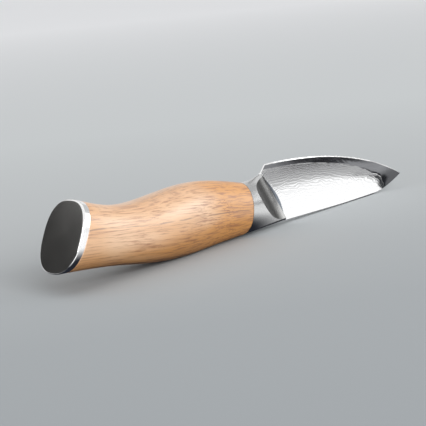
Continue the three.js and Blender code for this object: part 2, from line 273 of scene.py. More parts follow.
def smooth_curve(distances: tuple[float, ...], values: tuple[float, ...], at: np.ndarray) -> np.ndarray:
    """Reads a cubic spline with free ends.

    Args:
        distances: where its values are given.
        values: the values.
        at: where it is read.

    Returns:
        The values there.
    """
    x = np.array(distances, float)
    y = np.array(values, float)
    step = np.diff(x)
    rise = np.diff(y) / step
    rules = np.eye(len(x))
    right = np.zeros(len(x))
    for i in range(1, len(x) - 1):
        rules[i, i - 1:i + 2] = step[i - 1], 2 * (step[i - 1] + step[i]), step[i]
        right[i] = 6 * (rise[i] - rise[i - 1])
    bend = np.linalg.solve(rules, right)
    i = np.clip(np.searchsorted(x, at) - 1, 0, len(step) - 1)
    gone = (at - x[i]) / step[i]
    rest = 1 - gone
    curved = (rest**3 - rest) * bend[i] + (gone**3 - gone) * bend[i + 1]
    return rest * y[i] + gone * y[i + 1] + curved * step[i]**2 / 6


def bezier(points: list[tuple[float, float]], count: int) -> np.ndarray:
    """Samples a Bezier curve.

    Args:
        points: its control points, as X and Z.
        count: how many samples.

    Returns:
        The samples, one in each row.
    """
    t = np.linspace(0, 1, count)[:, None]
    layers = [np.array(p, float)[None, :] + 0 * t for p in points]
    while len(layers) > 1:
        layers = [a * (1 - t) + b * t for a, b in zip(layers, layers[1:])]
    return layers[0]


@dataclass(frozen=True)
class HandleForm:
    """Sections of the handle and its cap, from the bolster's seam to the butt, in millimetres and degrees."""

    heel_to_seam: float = 16.4
    length: float = 89.2
    cap_thickness: float = 2.9
    stations: tuple[float, ...] = (0, 13.4, 31.2, 49, 66.9, 89.2)
    centres: tuple[float, ...] = (8.7, 9.8, 10.3, 10.3, 11.4, 15.1)
    heights: tuple[float, ...] = (19.3, 22.6, 25.6, 23.6, 20.9, 25.3)
    widths: tuple[float, ...] = (13.9, 15.4, 18.6, 20, 18.2, 17.9)
    seam_power: float = 2.1
    butt_power: float = 2.5
    seam_slant: float = 5.8
    butt_slant: float = 25.7

    @property
    def cap_joint(self) -> float:
        """Distance from the seam to the joint between wood and cap."""
        return self.length - self.cap_thickness

    @property
    def tang_angle(self) -> float:
        """Slope of the line from the middle of the seam to the middle of the butt."""
        return math.atan2(self.centres[-1] - self.centres[0], self.length)

    def section(self, distance: float, inset: float = 0.0) -> Section:
        """Gives one section.

        Args:
            distance: how far it lies behind the seam.
            inset: how far it lies inside the surface.

        Returns:
            The section.
        """
        height, width, centre = (
            float(smooth_curve(self.stations, values, np.array([distance]))[0])
            for values in (self.heights, self.widths, self.centres)
        )
        lean = self.seam_slant + (self.butt_slant - self.seam_slant) * min(distance / self.cap_joint, 1)
        power = self.seam_power + (self.butt_power - self.seam_power) * distance / self.length
        x = -self.heel_to_seam - distance
        return Section(x, centre, height / 2 - inset, width / 2 - inset, math.radians(lean), power)

    def on_tang(self, distance: float, offset: float = 0.0) -> Triple:
        """Gives a point on the tang's line.

        Args:
            distance: how far it lies behind the seam.
            offset: how far it lies above the line.

        Returns:
            The point in the drawing.
        """
        turn = Matrix.Rotation(self.tang_angle, 3, "Y")
        point = turn @ Vector((-distance, 0, offset)) + Vector((-self.heel_to_seam, 0, self.centres[0]))
        return tuple(point)

    def bar(self, name: str, diameter: float, start: float, end: float, offset: float = 0.0) -> Cutter:
        """Gives a round bar on the tang's line.

        Args:
            name: what it makes.
            diameter: its diameter.
            start: where it starts behind the seam.
            end: where it ends.
            offset: how far it lies above the line.

        Returns:
            The bar as a tool.
        """
        place = self.on_tang((start + end) / 2, offset)
        turn = math.pi / 2 + self.tang_angle
        return Cutter(name, Tool.ROUND, (diameter, diameter, end - start), place, turn)


@dataclass(frozen=True)
class Bench:
    """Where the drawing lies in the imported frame.

    Attributes:
        pitch: its turn about Y, in radians.
        shift: its move, in metres.
    """

    pitch: float
    shift: Vector

    @classmethod
    def from_butt_face(cls, mount: dict[str, Any], form: HandleForm) -> "Bench":
        """Finds the place of the drawing from the knife's butt face.

        Args:
            mount: the record's mount on the butt face.
            form: the handle's sections.

        Returns:
            The place.
        """
        pitch = math.asin(mount["axis"][2]) - math.radians(form.butt_slant)
        butt = form.section(form.length)
        turned = Matrix.Rotation(pitch, 3, "Y") @ Vector((butt.x, 0, butt.z))
        return cls(pitch, Vector(mount["pos_m"]) - turned * MM + INSIDE)

    def matrix(self) -> Matrix:
        """Gives the matrix from the drawing to the frame."""
        turn = Matrix.Rotation(self.pitch, 4, "Y")
        return Matrix.Translation(self.shift) @ turn @ Matrix.Scale(MM, 4)


@dataclass
class Loft:
    """Geometry Nodes tree that skins a row of sections and cuts or joins tools to it.

    Attributes:
        name: the tree's name.
        cuts: tools that are cut out of the skin.
        joins: tools that are joined to it.
        facing: faces that look this way get the second material, as do marked cuts.
        ring_points: points round each section.
        tool_sides: sides of a round tool.
        crease: edges that turn by more than this stay sharp, in degrees.
        facing_cosine: how squarely a face must look that way.
    """

    name: str
    cuts: list[Cutter] = field(default_factory=list)
    joins: list[Cutter] = field(default_factory=list)
    facing: Triple = (0.0, 0.0, 0.0)
    ring_points: int = 160
    tool_sides: int = 64
    crease: float = 24.0
    facing_cosine: float = 0.98

    def tree(self) -> NodeTree:
        """Builds the tree, with a size, place and turn for each of its tools among its inputs.

        Returns:
            The tree.
        """
        inputs = {
            "Sections": "Geometry",
            "Section count": "Int",
            "Ring points": "Int",
            "Tool sides": "Int",
            "Crease": "Float",
            "Material": "Material",
            "Facing": "Vector",
            "Facing material": "Material",
            "Frame shift": "Vector",
            "Frame turn": "Rotation",
        }
        for cutter in self.cuts + self.joins:
            inputs[f"{cutter.name} size"] = "Vector"
            inputs[f"{cutter.name} place"] = "Vector"
            inputs[f"{cutter.name} turn"] = "Rotation"
        steps, given, result = new_group(self.name, "GeometryNodeTree", inputs, ("Piece", "Geometry"))
        shape = self.skin(steps, given)
        for operation, tools in (("DIFFERENCE", self.cuts), ("UNION", self.joins)):
            if tools:
                shape = self.work(steps, given, shape, operation, tools)
        laid = steps.add("GeometryNodeTransform", {
            "Geometry": shape,
            "Translation": given.outputs["Frame shift"],
            "Rotation": given.outputs["Frame turn"],
            "Scale": (MM, MM, MM),
        })
        angle = steps.add("GeometryNodeInputMeshEdgeAngle").outputs[0]
        sharp = steps.math("GREATER_THAN", angle, given.outputs["Crease"])
        smooth = steps.add("GeometryNodeSetShadeSmooth", {0: laid.outputs[0]}, domain="FACE")
        feeds = {0: smooth.outputs[0], 1: sharp, 2: False}
        creased = steps.add("GeometryNodeSetShadeSmooth", feeds, domain="EDGE")
        real = steps.add("GeometryNodeRealizeInstances", {0: creased.outputs[0]})
        dressed = steps.add("GeometryNodeSetMaterial", {
            "Geometry": real.outputs[0],
            "Material": given.outputs["Material"],
        })
        normal = steps.add("GeometryNodeInputNormal").outputs[0]
        facing = steps.measure("DOT_PRODUCT", normal, given.outputs["Facing"])
        feeds = {"Name": "marked"}
        marked = steps.add("GeometryNodeInputNamedAttribute", feeds, data_type="FLOAT").outputs[0]
        chosen = steps.math("MAXIMUM", facing, marked)
        faced = steps.add("GeometryNodeSetMaterial", {
            "Geometry": dressed.outputs[0],
            "Selection": steps.math("GREATER_THAN", chosen, self.facing_cosine),
            "Material": given.outputs["Facing material"],
        })
        steps.feed(result.inputs[0], faced.outputs[0])
        return steps.tree

    def skin(self, steps: Steps, given: Node) -> NodeSocket:
        """Skins the sections: a grid with one row for each of them, wrapped round and closed.

        Args:
            steps: the tree's steps.
            given: its input node.

        Returns:
            The skin.
        """
        points = given.outputs["Ring points"]
        row_length = steps.math("ADD", points, 1.0)
        grid = steps.add("GeometryNodeMeshGrid", {
            "Vertices X": given.outputs["Section count"],
            "Vertices Y": row_length,
        })
        index = steps.add("GeometryNodeInputIndex").outputs[0]
        row = steps.math("FLOOR", steps.math("DIVIDE", index, row_length))
        step = steps.math("MODULO", index, row_length)
        angle = steps.math("MULTIPLY", steps.math("DIVIDE", step, points), math.tau)

        def read(name: str) -> NodeSocket:
            """Reads one value of the section of this row.

            Args:
                name: the value's name.

            Returns:
                The value.
            """
            feeds = {"Name": name}
            value = steps.add("GeometryNodeInputNamedAttribute", feeds, data_type="FLOAT").outputs[0]
            feeds = {"Geometry": given.outputs["Sections"], "Value": value, "Index": row}
            return steps.add("GeometryNodeSampleIndex", feeds, data_type="FLOAT", domain="POINT").outputs[0]

        exponent = steps.math("DIVIDE", 2.0, read("power"))
        turned = steps.math("MULTIPLY_ADD", read("turns"), math.tau, angle)
        groove = steps.math("MULTIPLY_ADD", steps.math("SINE", turned), 0.5, 0.5)
        left = steps.math("SUBTRACT", 1.0, steps.math("MULTIPLY", groove, read("cut")))

        def reach(function: str, half: str) -> NodeSocket:
            """Gives the reach of the superellipse along one of its axes, less the groove of the thread.

            Args:
                function: COSINE across the section and SINE along its height.
                half: name of its half size that way.

            Returns:
                The reach.
            """
            wave = steps.math(function, angle)
            size = steps.math("POWER", steps.math("ABSOLUTE", wave), exponent)
            signed = steps.math("MULTIPLY", size, steps.math("SIGN", wave))
            return steps.math("MULTIPLY", signed, steps.math("MULTIPLY", read(half), left))

        across = reach("COSINE", "half_width")
        height = reach("SINE", "half_height")
        slant = read("slant")
        x = steps.math("ADD", read("x"), steps.math("MULTIPLY", height, steps.math("SINE", slant)))
        z = steps.math("ADD", read("z"), steps.math("MULTIPLY", height, steps.math("COSINE", slant)))
        place = steps.add("ShaderNodeCombineXYZ", {0: x, 1: across, 2: z}).outputs[0]
        wrapped = steps.add("GeometryNodeSetPosition", {"Geometry": grid.outputs[0], "Position": place})
        return steps.add("GeometryNodeMergeByDistance", {
            "Geometry": wrapped.outputs[0],
            "Distance": SKIN_MERGE,
        }).outputs[0]

    def work(self, steps: Steps, given: Node, shape: NodeSocket, operation: str,
             tools: list[Cutter]) -> NodeSocket:
        """Cuts tools out of a shape or joins them to it.

        Args:
            steps: the tree's steps.
            given: its input node.
            shape: the shape that is worked on.
            operation: DIFFERENCE or UNION.
            tools: the tools.

        Returns:
            The worked shape.
        """
        boolean = steps.add("GeometryNodeMeshBoolean", operation=operation, solver="MANIFOLD")
        shapes = boolean.inputs["Mesh 1"] if operation == "DIFFERENCE" else boolean.inputs["Mesh 2"]
        steps.feed(shapes, shape)
        for cutter in tools:
            if cutter.tool is Tool.ROUND:
                sizes = {"Vertices": given.outputs["Tool sides"], "Radius": 0.5, "Depth": 1.0}
            else:
                sizes = {"Size": (1.0, 1.0, 1.0)}
            unit = steps.add(cutter.tool.value, sizes)
            laid = steps.add("GeometryNodeTransform", {
                "Geometry": unit.outputs[0],
                "Translation": given.outputs[f"{cutter.name} place"],
                "Rotation": given.outputs[f"{cutter.name} turn"],
                "Scale": given.outputs[f"{cutter.name} size"],
            })
            feeds = {"Geometry": laid.outputs[0], "Name": "marked", "Value": float(cutter.marked)}
            noted = steps.add("GeometryNodeStoreNamedAttribute", feeds, data_type="FLOAT", domain="FACE")
            steps.feed(boolean.inputs["Mesh 2"], noted.outputs[0])
        return boolean.outputs[0]

    def make(self, name: str, sections: list[Section], materials: list[Material], bench: Bench) -> Object:
        """Makes the piece as a plain mesh.

        Args:
            name: the piece's name.
            sections: its sections, in order.
            materials: its finish, and that of the marked cuts and the faces that look a given way.
            bench: where the drawing lies in the frame.

        Returns:
            The finished object.
        """
        rows = [sections[0].shrunk(0), *sections, sections[-1].shrunk(0)]
        line = bpy.data.meshes.new(name)
        line.from_pydata([(row.x, 0, row.z) for row in rows], [], [])
        for label in ("x", "z", "half_height", "half_width", "slant", "power", "turns", "cut"):
            values = line.attributes.new(label, "FLOAT", "POINT")
            values.data.foreach_set("value", [getattr(row, label) for row in rows])
        piece = bpy.data.objects.new(name, line)
        bpy.context.scene.collection.objects.link(piece)
        modifier = piece.modifiers.new("loft", "NODES")
        modifier.node_group = self.tree()
        inputs = {
            "Section count": len(rows),
            "Ring points": self.ring_points,
            "Tool sides": self.tool_sides,
            "Crease": math.radians(self.crease),
            "Material": materials[0],
            "Facing": self.facing,
            "Facing material": materials[-1],
            "Frame shift": tuple(bench.shift),
            "Frame turn": (0.0, bench.pitch, 0.0),
        }
        for cutter in self.cuts + self.joins:
            inputs[f"{cutter.name} size"] = cutter.size
            inputs[f"{cutter.name} place"] = cutter.place
            inputs[f"{cutter.name} turn"] = (cutter.lean, cutter.turn, 0.0)
        for socket in modifier.node_group.interface.items_tree:
            if socket.name in inputs:
                modifier[socket.identifier] = inputs[socket.name]
        depsgraph = bpy.context.evaluated_depsgraph_get()
        shown = piece.evaluated_get(depsgraph)
        mesh = bpy.data.meshes.new_from_object(shown, preserve_all_data_layers=True, depsgraph=depsgraph)
        piece.modifiers.clear()
        piece.data = mesh
        turn_outwards(mesh, LOFT_MERGE)
        return piece


def turn_outwards(mesh: Mesh, merge: float) -> None:
    """Points a closed mesh's faces outwards.

    Args:
        mesh: the mesh.
        merge: points closer than this become one first.
    """
    shell = bmesh.new()
    shell.from_mesh(mesh)
    bmesh.ops.remove_doubles(shell, verts=shell.verts, dist=merge)
    bmesh.ops.dissolve_degenerate(shell, edges=shell.edges, dist=merge)
    bmesh.ops.recalc_face_normals(shell, faces=shell.faces)
    if shell.calc_volume(signed=True) < 0:
        bmesh.ops.reverse_faces(shell, faces=shell.faces)
    shell.to_mesh(mesh)
    shell.free()


class Patchwork:
    """Gathers grids and flat faces that close to one solid, in the drawing's millimetres."""

    def __init__(self) -> None:
        """Starts with nothing."""
        self.points: list[Triple] = []
        self.faces: list[list[int]] = []
        self.marks: list[int] = []

    def grid(self, points: np.ndarray, marks: np.ndarray | int = 0) -> None:
        """Adds a grid of faces.

        Args:
            points: rows and columns of points.
            marks: number of the finish, for all faces or for each of them, in columns and rows.
        """
        columns, rows = points.shape[:2]
        first = len(self.points)
        self.points.extend(map(tuple, points.reshape(-1, 3)))
        marks = np.broadcast_to(marks, (columns - 1, rows - 1))
        for i in range(columns - 1):
            for j in range(rows - 1):
                corner = first + i * rows + j
                self.faces.append([corner, corner + 1, corner + rows + 1, corner + rows])
                self.marks.append(int(marks[i, j]))

    def face(self, points: np.ndarray) -> None:
        """Adds one flat face with the first finish.

        Args:
            points: its corners, in order.
        """
        first = len(self.points)
        self.points.extend(map(tuple, points))
        self.faces.append(list(range(first, first + len(points))))
        self.marks.append(0)

    def piece(self, name: str, materials: list[Material], bench: Bench, crease: float) -> Object:
        """Closes the patches to one piece.

        Args:
            name: the piece's name.
            materials: its finishes, by number.
            bench: where the drawing lies in the frame.
            crease: edges that turn by more than this stay sharp, in degrees.

        Returns:
            The finished object.
        """
        mesh = bpy.data.meshes.new(name)
        mesh.from_pydata(self.points, [], self.faces)
        mesh.polygons.foreach_set("material_index", self.marks)
        for material in materials:
            mesh.materials.append(material)
        turn_outwards(mesh, PATCH_MERGE)
        mesh.transform(bench.matrix())
        mesh.polygons.foreach_set("use_smooth", [True] * len(mesh.polygons))
        mesh.set_sharp_from_angle(angle=math.radians(crease))
        piece = bpy.data.objects.new(name, mesh)
        bpy.context.scene.collection.objects.link(piece)
        return piece


def settle(piece: Object, node: str) -> None:
    """Lets a piece stand for a node of the frame and reports it.

    Args:
        piece: the finished piece.
        node: the node that it replaces.
    """
    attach(piece, BODY)
    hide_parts(node)
    LOG.info("%s: %d faces", piece.name, len(piece.data.polygons))


class Surfaces:
    """Shader groups that several finishes share, each built once."""

    def __init__(self) -> None:
        """Builds the groups."""
        self.lines = self.fine_lines()
        self.marks = self.handling_marks()

    def fine_lines(self) -> NodeTree:
        """Builds the group of fine lines: noise that is drawn out along one direction.

        Returns:
            The group.
        """
        inputs = {"Stretch": "Vector", "Lean": "Float"}
        steps, given, result = new_group("fine_lines", "ShaderNodeTree", inputs, ("Lines", "Float"))
        place = steps.place()
        feeds = {"Vector": place, "Angle": given.outputs["Lean"]}
        turned = steps.add("ShaderNodeVectorRotate", feeds, rotation_type="Y_AXIS").outputs[0]
        drawn = steps.vector("MULTIPLY", turned, given.outputs["Stretch"])
        feeds = {"Vector": drawn, "Scale": 1.0, "Detail": 3.0, "Roughness": 0.6}
        noise = steps.add("ShaderNodeTexNoise", feeds)
        steps.feed(result.inputs["Lines"], noise.outputs[0])
        return steps.tree

    def handling_marks(self) -> NodeTree:
        """Builds the group of handling marks: soft patches where the surface was wiped or held.

        Returns:
            The group.
        """
        inputs = {"Patches per metre": "Float"}
        steps, given, result = new_group("handling_marks", "ShaderNodeTree", inputs, ("Marks", "Float"))
        place = steps.place()
        noise = steps.add("ShaderNodeTexNoise", {
            "Vector": place,
            "Scale": given.outputs["Patches per metre"],
            "Detail": 2.0,
            "Distortion": 0.4,
        })
        steps.feed(result.inputs["Marks"], steps.span(noise.outputs[0], 0.35, 0.7))
        return steps.tree


class Paint(Steps):
    """Steps of one material, which ends in a Principled BSDF."""

    def __init__(self, name: str, surfaces: Surfaces) -> None:
        """Starts an empty material.

        Args:
            name: its name.
            surfaces: the shared shader groups.
        """
        self.material = bpy.data.materials.new(name)
        self.material.use_nodes = True
        super().__init__(self.material.node_tree)
        self.tree.nodes.clear()
        self.surfaces = surfaces
        self.shader = self.add("ShaderNodeBsdfPrincipled")
        self.add("ShaderNodeOutputMaterial", {"Surface": self.shader.outputs[0]})

    def lines(self, stretch: Triple, lean: float = 0.0) -> NodeSocket:
        """Places the fine lines, with their counts per metre along X, Y and Z and their lean in radians."""
        return self.group(self.surfaces.lines, {"Stretch": stretch, "Lean": lean})

    def marks(self, per_metre: float) -> NodeSocket:
        """Places the handling marks, with their count per metre."""
        return self.group(self.surfaces.marks, {"Patches per metre": per_metre})

    def relief(self, height: Any, distance: float) -> None:
        """Raises the surface by a height from 0 to 1, times a distance in metres."""
        bump = self.add("ShaderNodeBump", {"Height": height, "Distance": distance, "Strength": 1.0})
        self.feed(self.shader.inputs["Normal"], bump.outputs[0])

    def set(self, **values: Any) -> None:
        """Sets or links the shader's own inputs, with underscores for spaces in their names."""
        for name, value in values.items():
            self.feed(self.shader.inputs[name.replace("_", " ")], value)


@dataclass(frozen=True)
class GroundSteel:
    """Plain steel with fine grinding lines.

    Attributes:
        name: the finish's name.
        colour: linear colour between the lines.
        line_colour: linear colour in the lines.
        smooth: roughness where it is wiped clean.
        rough: roughness where it was handled.
        stretch: lines per metre along X, Y and Z.
        depth: depth of the lines, in metres.
        patches: handling marks per metre.
    """

    name: str
    colour: Triple
    line_colour: Triple
    smooth: float
    rough: float
    stretch: Triple
    depth: float
    patches: float = 90.0

    def build(self, surfaces: Surfaces) -> Material:
        """Builds the material.

        Args:
            surfaces: the shared shader groups.

        Returns:
            The material.
        """
        paint = Paint(self.name, surfaces)
        lines = paint.lines(self.stretch)
        marks = paint.marks(self.patches)
        shade = paint.span(lines, 0.3, 0.7)
        colour = paint.colours(shade, {0.0: self.line_colour, 1.0: self.colour})
        worn = paint.math("MULTIPLY", paint.math("ADD", shade, marks), 0.5)
        rough = paint.span(worn, 0.0, 1.0, self.smooth, self.rough)
        paint.set(Base_Color=colour, Metallic=1.0, Roughness=rough)
        paint.relief(lines, self.depth)
        return paint.material


@dataclass(frozen=True)
class HollowSteel:
    """Hollow-ground steel, polished at its front, with painted shade further in where the faces open towards
    the blade, broken by fine grinding lines.

    Attributes:
        ahead: the way that the hollows open.
        polished: linear colour at the front.
        ground: painted dark colour further in, the painted shade of the hollow.
        grain: grinding lines per metre along X, Y and Z.
        depth: depth of the lines, in metres.
        painted_shade_from: how far a face opens where the painted shade begins, as a cosine.
        painted_shade_to: how far it opens where the painted shade is whole.
        patches: handling marks per metre.
    """

    ahead: Triple
    polished: Triple = (0.6, 0.6, 0.59)
    # The dark colour further in is painted shade.
    ground: Triple = (0.038, 0.038, 0.035)
    grain: Triple = (2600.0, 900.0, 500.0)
    depth: float = 1.5e-6
    painted_shade_from: float = 0.12
    painted_shade_to: float = 0.36
    patches: float = 90.0

    def build(self, surfaces: Surfaces) -> Material:
        """Builds the material.

        Args:
            surfaces: the shared shader groups.

        Returns:
            The material.
        """
        paint = Paint("hollow_steel", surfaces)
        normal = paint.add("ShaderNodeNewGeometry").outputs["Normal"]
        opening = paint.measure("DOT_PRODUCT", normal, self.ahead)
        # Painted shade: faces that open towards the blade take the dark colour, broken by the grinding lines.
        inner = paint.span(opening, self.painted_shade_from, self.painted_shade_to)
        lines = paint.lines(self.grain)
        shade = paint.math("MULTIPLY", inner, paint.span(lines, 0.3, 0.7, 1.0, 0.87))
        colour = paint.colours(shade, {0.0: self.polished, 1.0: self.ground})
        wiped = paint.span(paint.marks(self.patches), 0.0, 1.0, 0.1, 0.16)
        rough = paint.math("MULTIPLY_ADD", inner, 0.14, wiped)
        paint.set(Base_Color=colour, Metallic=1.0, Roughness=rough)
        paint.relief(lines, self.depth)
        return paint.material


@dataclass(frozen=True)
class LayeredSteel:
    """Etched layered steel, whose layers show where the grind cuts through them.

    Attributes:
        pair: thickness of a bright and a dark layer, in millimetres.
        swirl: how far the forging moved the layers, in millimetres.
        swirl_size: swirls per metre along X, Y and Z.
        bright: linear colour of the bright layers.
        dark: linear colour of the dark layers.
        bright_rough: roughness of the bright layers.
        dark_rough: roughness of the dark layers.
        depth: depth of the etching, in metres.
        polish: polishing lines per metre along X, Y and Z.
    """

    pair: float = 0.03
    swirl: float = 0.12
    swirl_size: Triple = (110.0, 0.0, 230.0)
    bright: Triple = (0.95, 0.955, 0.96)
    dark: Triple = (0.9, 0.905, 0.91)
    bright_rough: float = 0.06
    dark_rough: float = 0.13
    depth: float = 4e-6
    polish: Triple = (300.0, 300.0, 4200.0)

    def build(self, surfaces: Surfaces) -> Material:
        """Builds the material.

        Args:
            surfaces: the shared shader groups.

        Returns:
            The material.
        """
        paint = Paint("layered_steel", surfaces)
        place = paint.place()
        depth = paint.math("ABSOLUTE", paint.split(place)[1])
        drawn = paint.vector("MULTIPLY", place, self.swirl_size)
        feeds = {"Vector": drawn, "Scale": 1.0, "Detail": 2.5, "Roughness": 0.45, "Distortion": 0.7}
        swirl = paint.add("ShaderNodeTexNoise", feeds).outputs[0]
        moved = paint.math("ADD", depth, paint.math("MULTIPLY", swirl, self.swirl * MM))
        turns = paint.math("MULTIPLY", moved, math.tau / (self.pair * MM))
        wave = paint.math("SINE", turns)
        layer = paint.span(wave, -0.75, 0.75)
        fine = paint.lines(self.polish)
        colour = paint.colours(layer, {0.0: self.dark, 1.0: self.bright})
        rough = paint.span(layer, 0.0, 1.0, self.dark_rough, self.bright_rough)
        uneven = paint.math("MULTIPLY_ADD", fine, 0.05, rough)
        paint.set(Base_Color=colour, Metallic=1.0, Roughness=uneven)
        paint.relief(paint.math("MULTIPLY_ADD", fine, 0.25, layer), self.depth)
        return paint.material


@dataclass(frozen=True)
class OiledWood:
    """Oiled hardwood with rings, fibres along the handle and short dark pores.

    Attributes:
        pale: linear colour of the early wood.
        warm: linear colour of the late wood, also used as painted shade on the handle's lowest part.
        strand: linear colour of the fibres.
        deep: linear colour of the line that ends a ring.
        pore: linear colour in the pores.
        lean: slope of the fibres towards the blade, in degrees.
        heart: depth of the tree's heart below the handle, in metres.
        ring: width of a ring, in metres.
        wave: how far a ring wanders along the handle, in metres.
        fibres: fine fibres per metre along the grain and across it.
        streaks: broader streaks per metre.
        cells: pores per metre.
        pore_patch: place of the patch of pores near the blade, in metres.
        patches: handling marks per metre.
        relief: depth of the pores, in metres.
    """

    pale: Triple = (0.75, 0.475, 0.275)
    warm: Triple = (0.65, 0.31, 0.095)
    strand: Triple = (0.4, 0.175, 0.07)
    deep: Triple = (0.24, 0.11, 0.05)
    pore: Triple = (0.27, 0.1, 0.035)
    lean: float = 7.0
    heart: float = 0.045
    ring: float = 0.0137
    wave: float = 0.0035
    fibres: Triple = (80.0, 1900.0, 1900.0)
    streaks: Triple = (24.0, 900.0, 900.0)
    cells: Triple = (560.0, 3200.0, 3200.0)
    pore_patch: Triple = (-0.0206, 0.0, 0.0135)
    patches: float = 70.0
    relief: float = 2e-5

    def build(self, surfaces: Surfaces) -> Material:
        """Builds the material.

        Args:
            surfaces: the shared shader groups.

        Returns:
            The material.
        """
        paint = Paint("oiled_wood", surfaces)
        place = paint.place()
        lean = -math.radians(self.lean)
        feeds = {"Vector": place, "Angle": lean}
        grain = paint.add("ShaderNodeVectorRotate", feeds, rotation_type="Y_AXIS").outputs[0]
        along = paint.split(place)[0]
        body = paint.mixed(self.tone(paint, place, grain), (*self.pale, 1.0), (*self.warm, 1.0))
        fibre = paint.lines(self.fibres, lean)
        streaks = paint.lines(self.streaks, lean)
        fine = paint.span(fibre, 0.46, 0.7)
        broad = paint.span(streaks, 0.5, 0.72, 0.0, 0.4)
        drawn = paint.math("ADD", fine, broad)
        bold = paint.math("MULTIPLY", drawn, paint.span(along, -0.055, -0.02, 1.0, 1.4))
        stranded = paint.mixed(bold, body, (*self.strand, 1.0))
        lined = paint.mixed(self.ring_lines(paint, grain), stranded, (*self.deep, 1.0))
        pores = self.pores(paint, place, grain)
        colour = paint.mixed(pores, lined, (*self.pore, 1.0))
        handled = paint.span(paint.marks(self.patches), 0.0, 1.0, 0.36, 0.46)
        rough = paint.math("MULTIPLY_ADD", pores, 0.25, handled)
        paint.set(Base_Color=colour, Metallic=0.0, Roughness=rough, Specular_IOR_Level=1.0)
        coat = paint.span(along, -0.042, -0.018, 0.82, 0.22)
        paint.set(Coat_Weight=coat, Coat_Roughness=0.38, Coat_IOR=1.9)
        height = paint.math("SUBTRACT", paint.math("MULTIPLY", fibre, 0.5), pores)
        paint.relief(height, self.relief)
        return paint.material

    def tone(self, paint: Paint, place: NodeSocket, grain: NodeSocket) -> NodeSocket:
        """Shades from early to late wood, with warmer wood at both ends, and adds painted shade that gives
        the lowest part of the handle the late wood's warmer, darker colour.

        Args:
            paint: the material's steps.
            place: object coordinates.
            grain: coordinates along the grain.

        Returns:
            0 in early wood and 1 in late wood or in full painted shade.
        """
        x, _, z = paint.split(place)
        cloud = paint.span(self.cloud(paint, grain, (15.0, 90.0, 90.0)), 0.35, 0.66, 0.0, 0.7)
        front = paint.span(x, -0.036, -0.02)
        rear = paint.span(x, -0.088, -0.078, 0.5, 0.0)
        # Painted shade: up to 13 mm above the floor the handle turns warmer and darker, most of all near the
        # floor.
        painted_underside_shade = paint.span(z, 0.002, 0.013, 0.9, 0.0)
        ends = paint.math("ADD", front, rear)
        return paint.math("MINIMUM", paint.math("ADD", cloud, paint.math("ADD", ends, painted_underside_shade)), 1.0)

    def cloud(self, paint: Paint, grain: NodeSocket, size: Triple) -> NodeSocket:
        """Gives soft noise along the grain, with its counts per metre."""
        stretched = paint.vector("MULTIPLY", grain, size)
        return paint.add("ShaderNodeTexNoise", {"Vector": stretched, "Scale": 1.0, "Detail": 2.0}).outputs[0]

    def ring_lines(self, paint: Paint, grain: NodeSocket) -> NodeSocket:
        """Masks the thin broken lines at which the rings end.

        Args:
            paint: the material's steps.
            grain: coordinates along the grain.

        Returns:
            1 on a line and 0 beside it.
        """
        _, y, z = paint.split(grain)
        sway = paint.math("SUBTRACT", self.cloud(paint, grain, (38.0, 30.0, 30.0)), 0.5)
        above = paint.math("MULTIPLY_ADD", sway, self.wave, z)
        rise = paint.math("POWER", paint.math("ADD", above, self.heart), 2.0)
        spread = paint.math("SQRT", paint.math("ADD", paint.math("POWER", y, 2.0), rise))
        share = paint.math("FRACT", paint.math("DIVIDE", spread, self.ring))
        edge = paint.math("ABSOLUTE", paint.math("SUBTRACT", share, 0.5))
        line = paint.span(edge, 0.474, 0.495, 0.0, 0.8)
        broken = paint.span(self.cloud(paint, grain, (110.0, 300.0, 300.0)), 0.33, 0.56)
        return paint.math("MULTIPLY", line, broken)

    def pores(self, paint: Paint, place: NodeSocket, grain: NodeSocket) -> NodeSocket:
        """Masks the pores: short cells that lie along the fibres, with a patch of them near the blade.

        Args:
            paint: the material's steps.
            place: object coordinates.
            grain: coordinates along the grain.

        Returns:
            1 in a pore and 0 beside it.
        """
        cells = paint.vector("MULTIPLY", grain, self.cells)
        cell = paint.add("ShaderNodeTexVoronoi", {"Vector": cells, "Scale": 1.0, "Randomness": 1.0})
        gather = self.cloud(paint, grain, (70.0, 260.0, 260.0))
        flat = paint.vector("MULTIPLY", place, (1.0, 0.0, 1.0))
        gap = paint.measure("DISTANCE", flat, self.pore_patch)
        patch = paint.span(gap, 0.001, 0.0045, 0.3, 0.0)
        size = paint.span(paint.math("ADD", gather, patch), 0.46, 0.78, 0.04, 0.38)
        near = paint.math("SUBTRACT", size, cell.outputs["Distance"])
        return paint.span(near, 0.0, 0.14, 0.0, 0.75)


@dataclass(frozen=True)
class CuredResin:
    """Cloudy cured resin.

    Attributes:
        clear: linear colour of the clear parts.
        cloudy: linear colour of the clouds.
        patches: clouds per metre.
        relief: height of the uneven surface, in metres.
    """

    clear: Triple = (0.52, 0.38, 0.18)
    cloudy: Triple = (0.62, 0.5, 0.3)
    patches: float = 260.0
    relief: float = 3e-5

    def build(self, surfaces: Surfaces) -> Material:
        """Builds the material.

        Args:
            surfaces: the shared shader groups.

        Returns:
            The material.
        """
        paint = Paint("cured_resin", surfaces)
        marks = paint.marks(self.patches)
        colour = paint.colours(marks, {0.0: self.clear, 1.0: self.cloudy})
        paint.set(Base_Color=colour, Metallic=0.0, Roughness=paint.span(marks, 0.0, 1.0, 0.35, 0.6))
        paint.relief(marks, self.relief)
        return paint.material


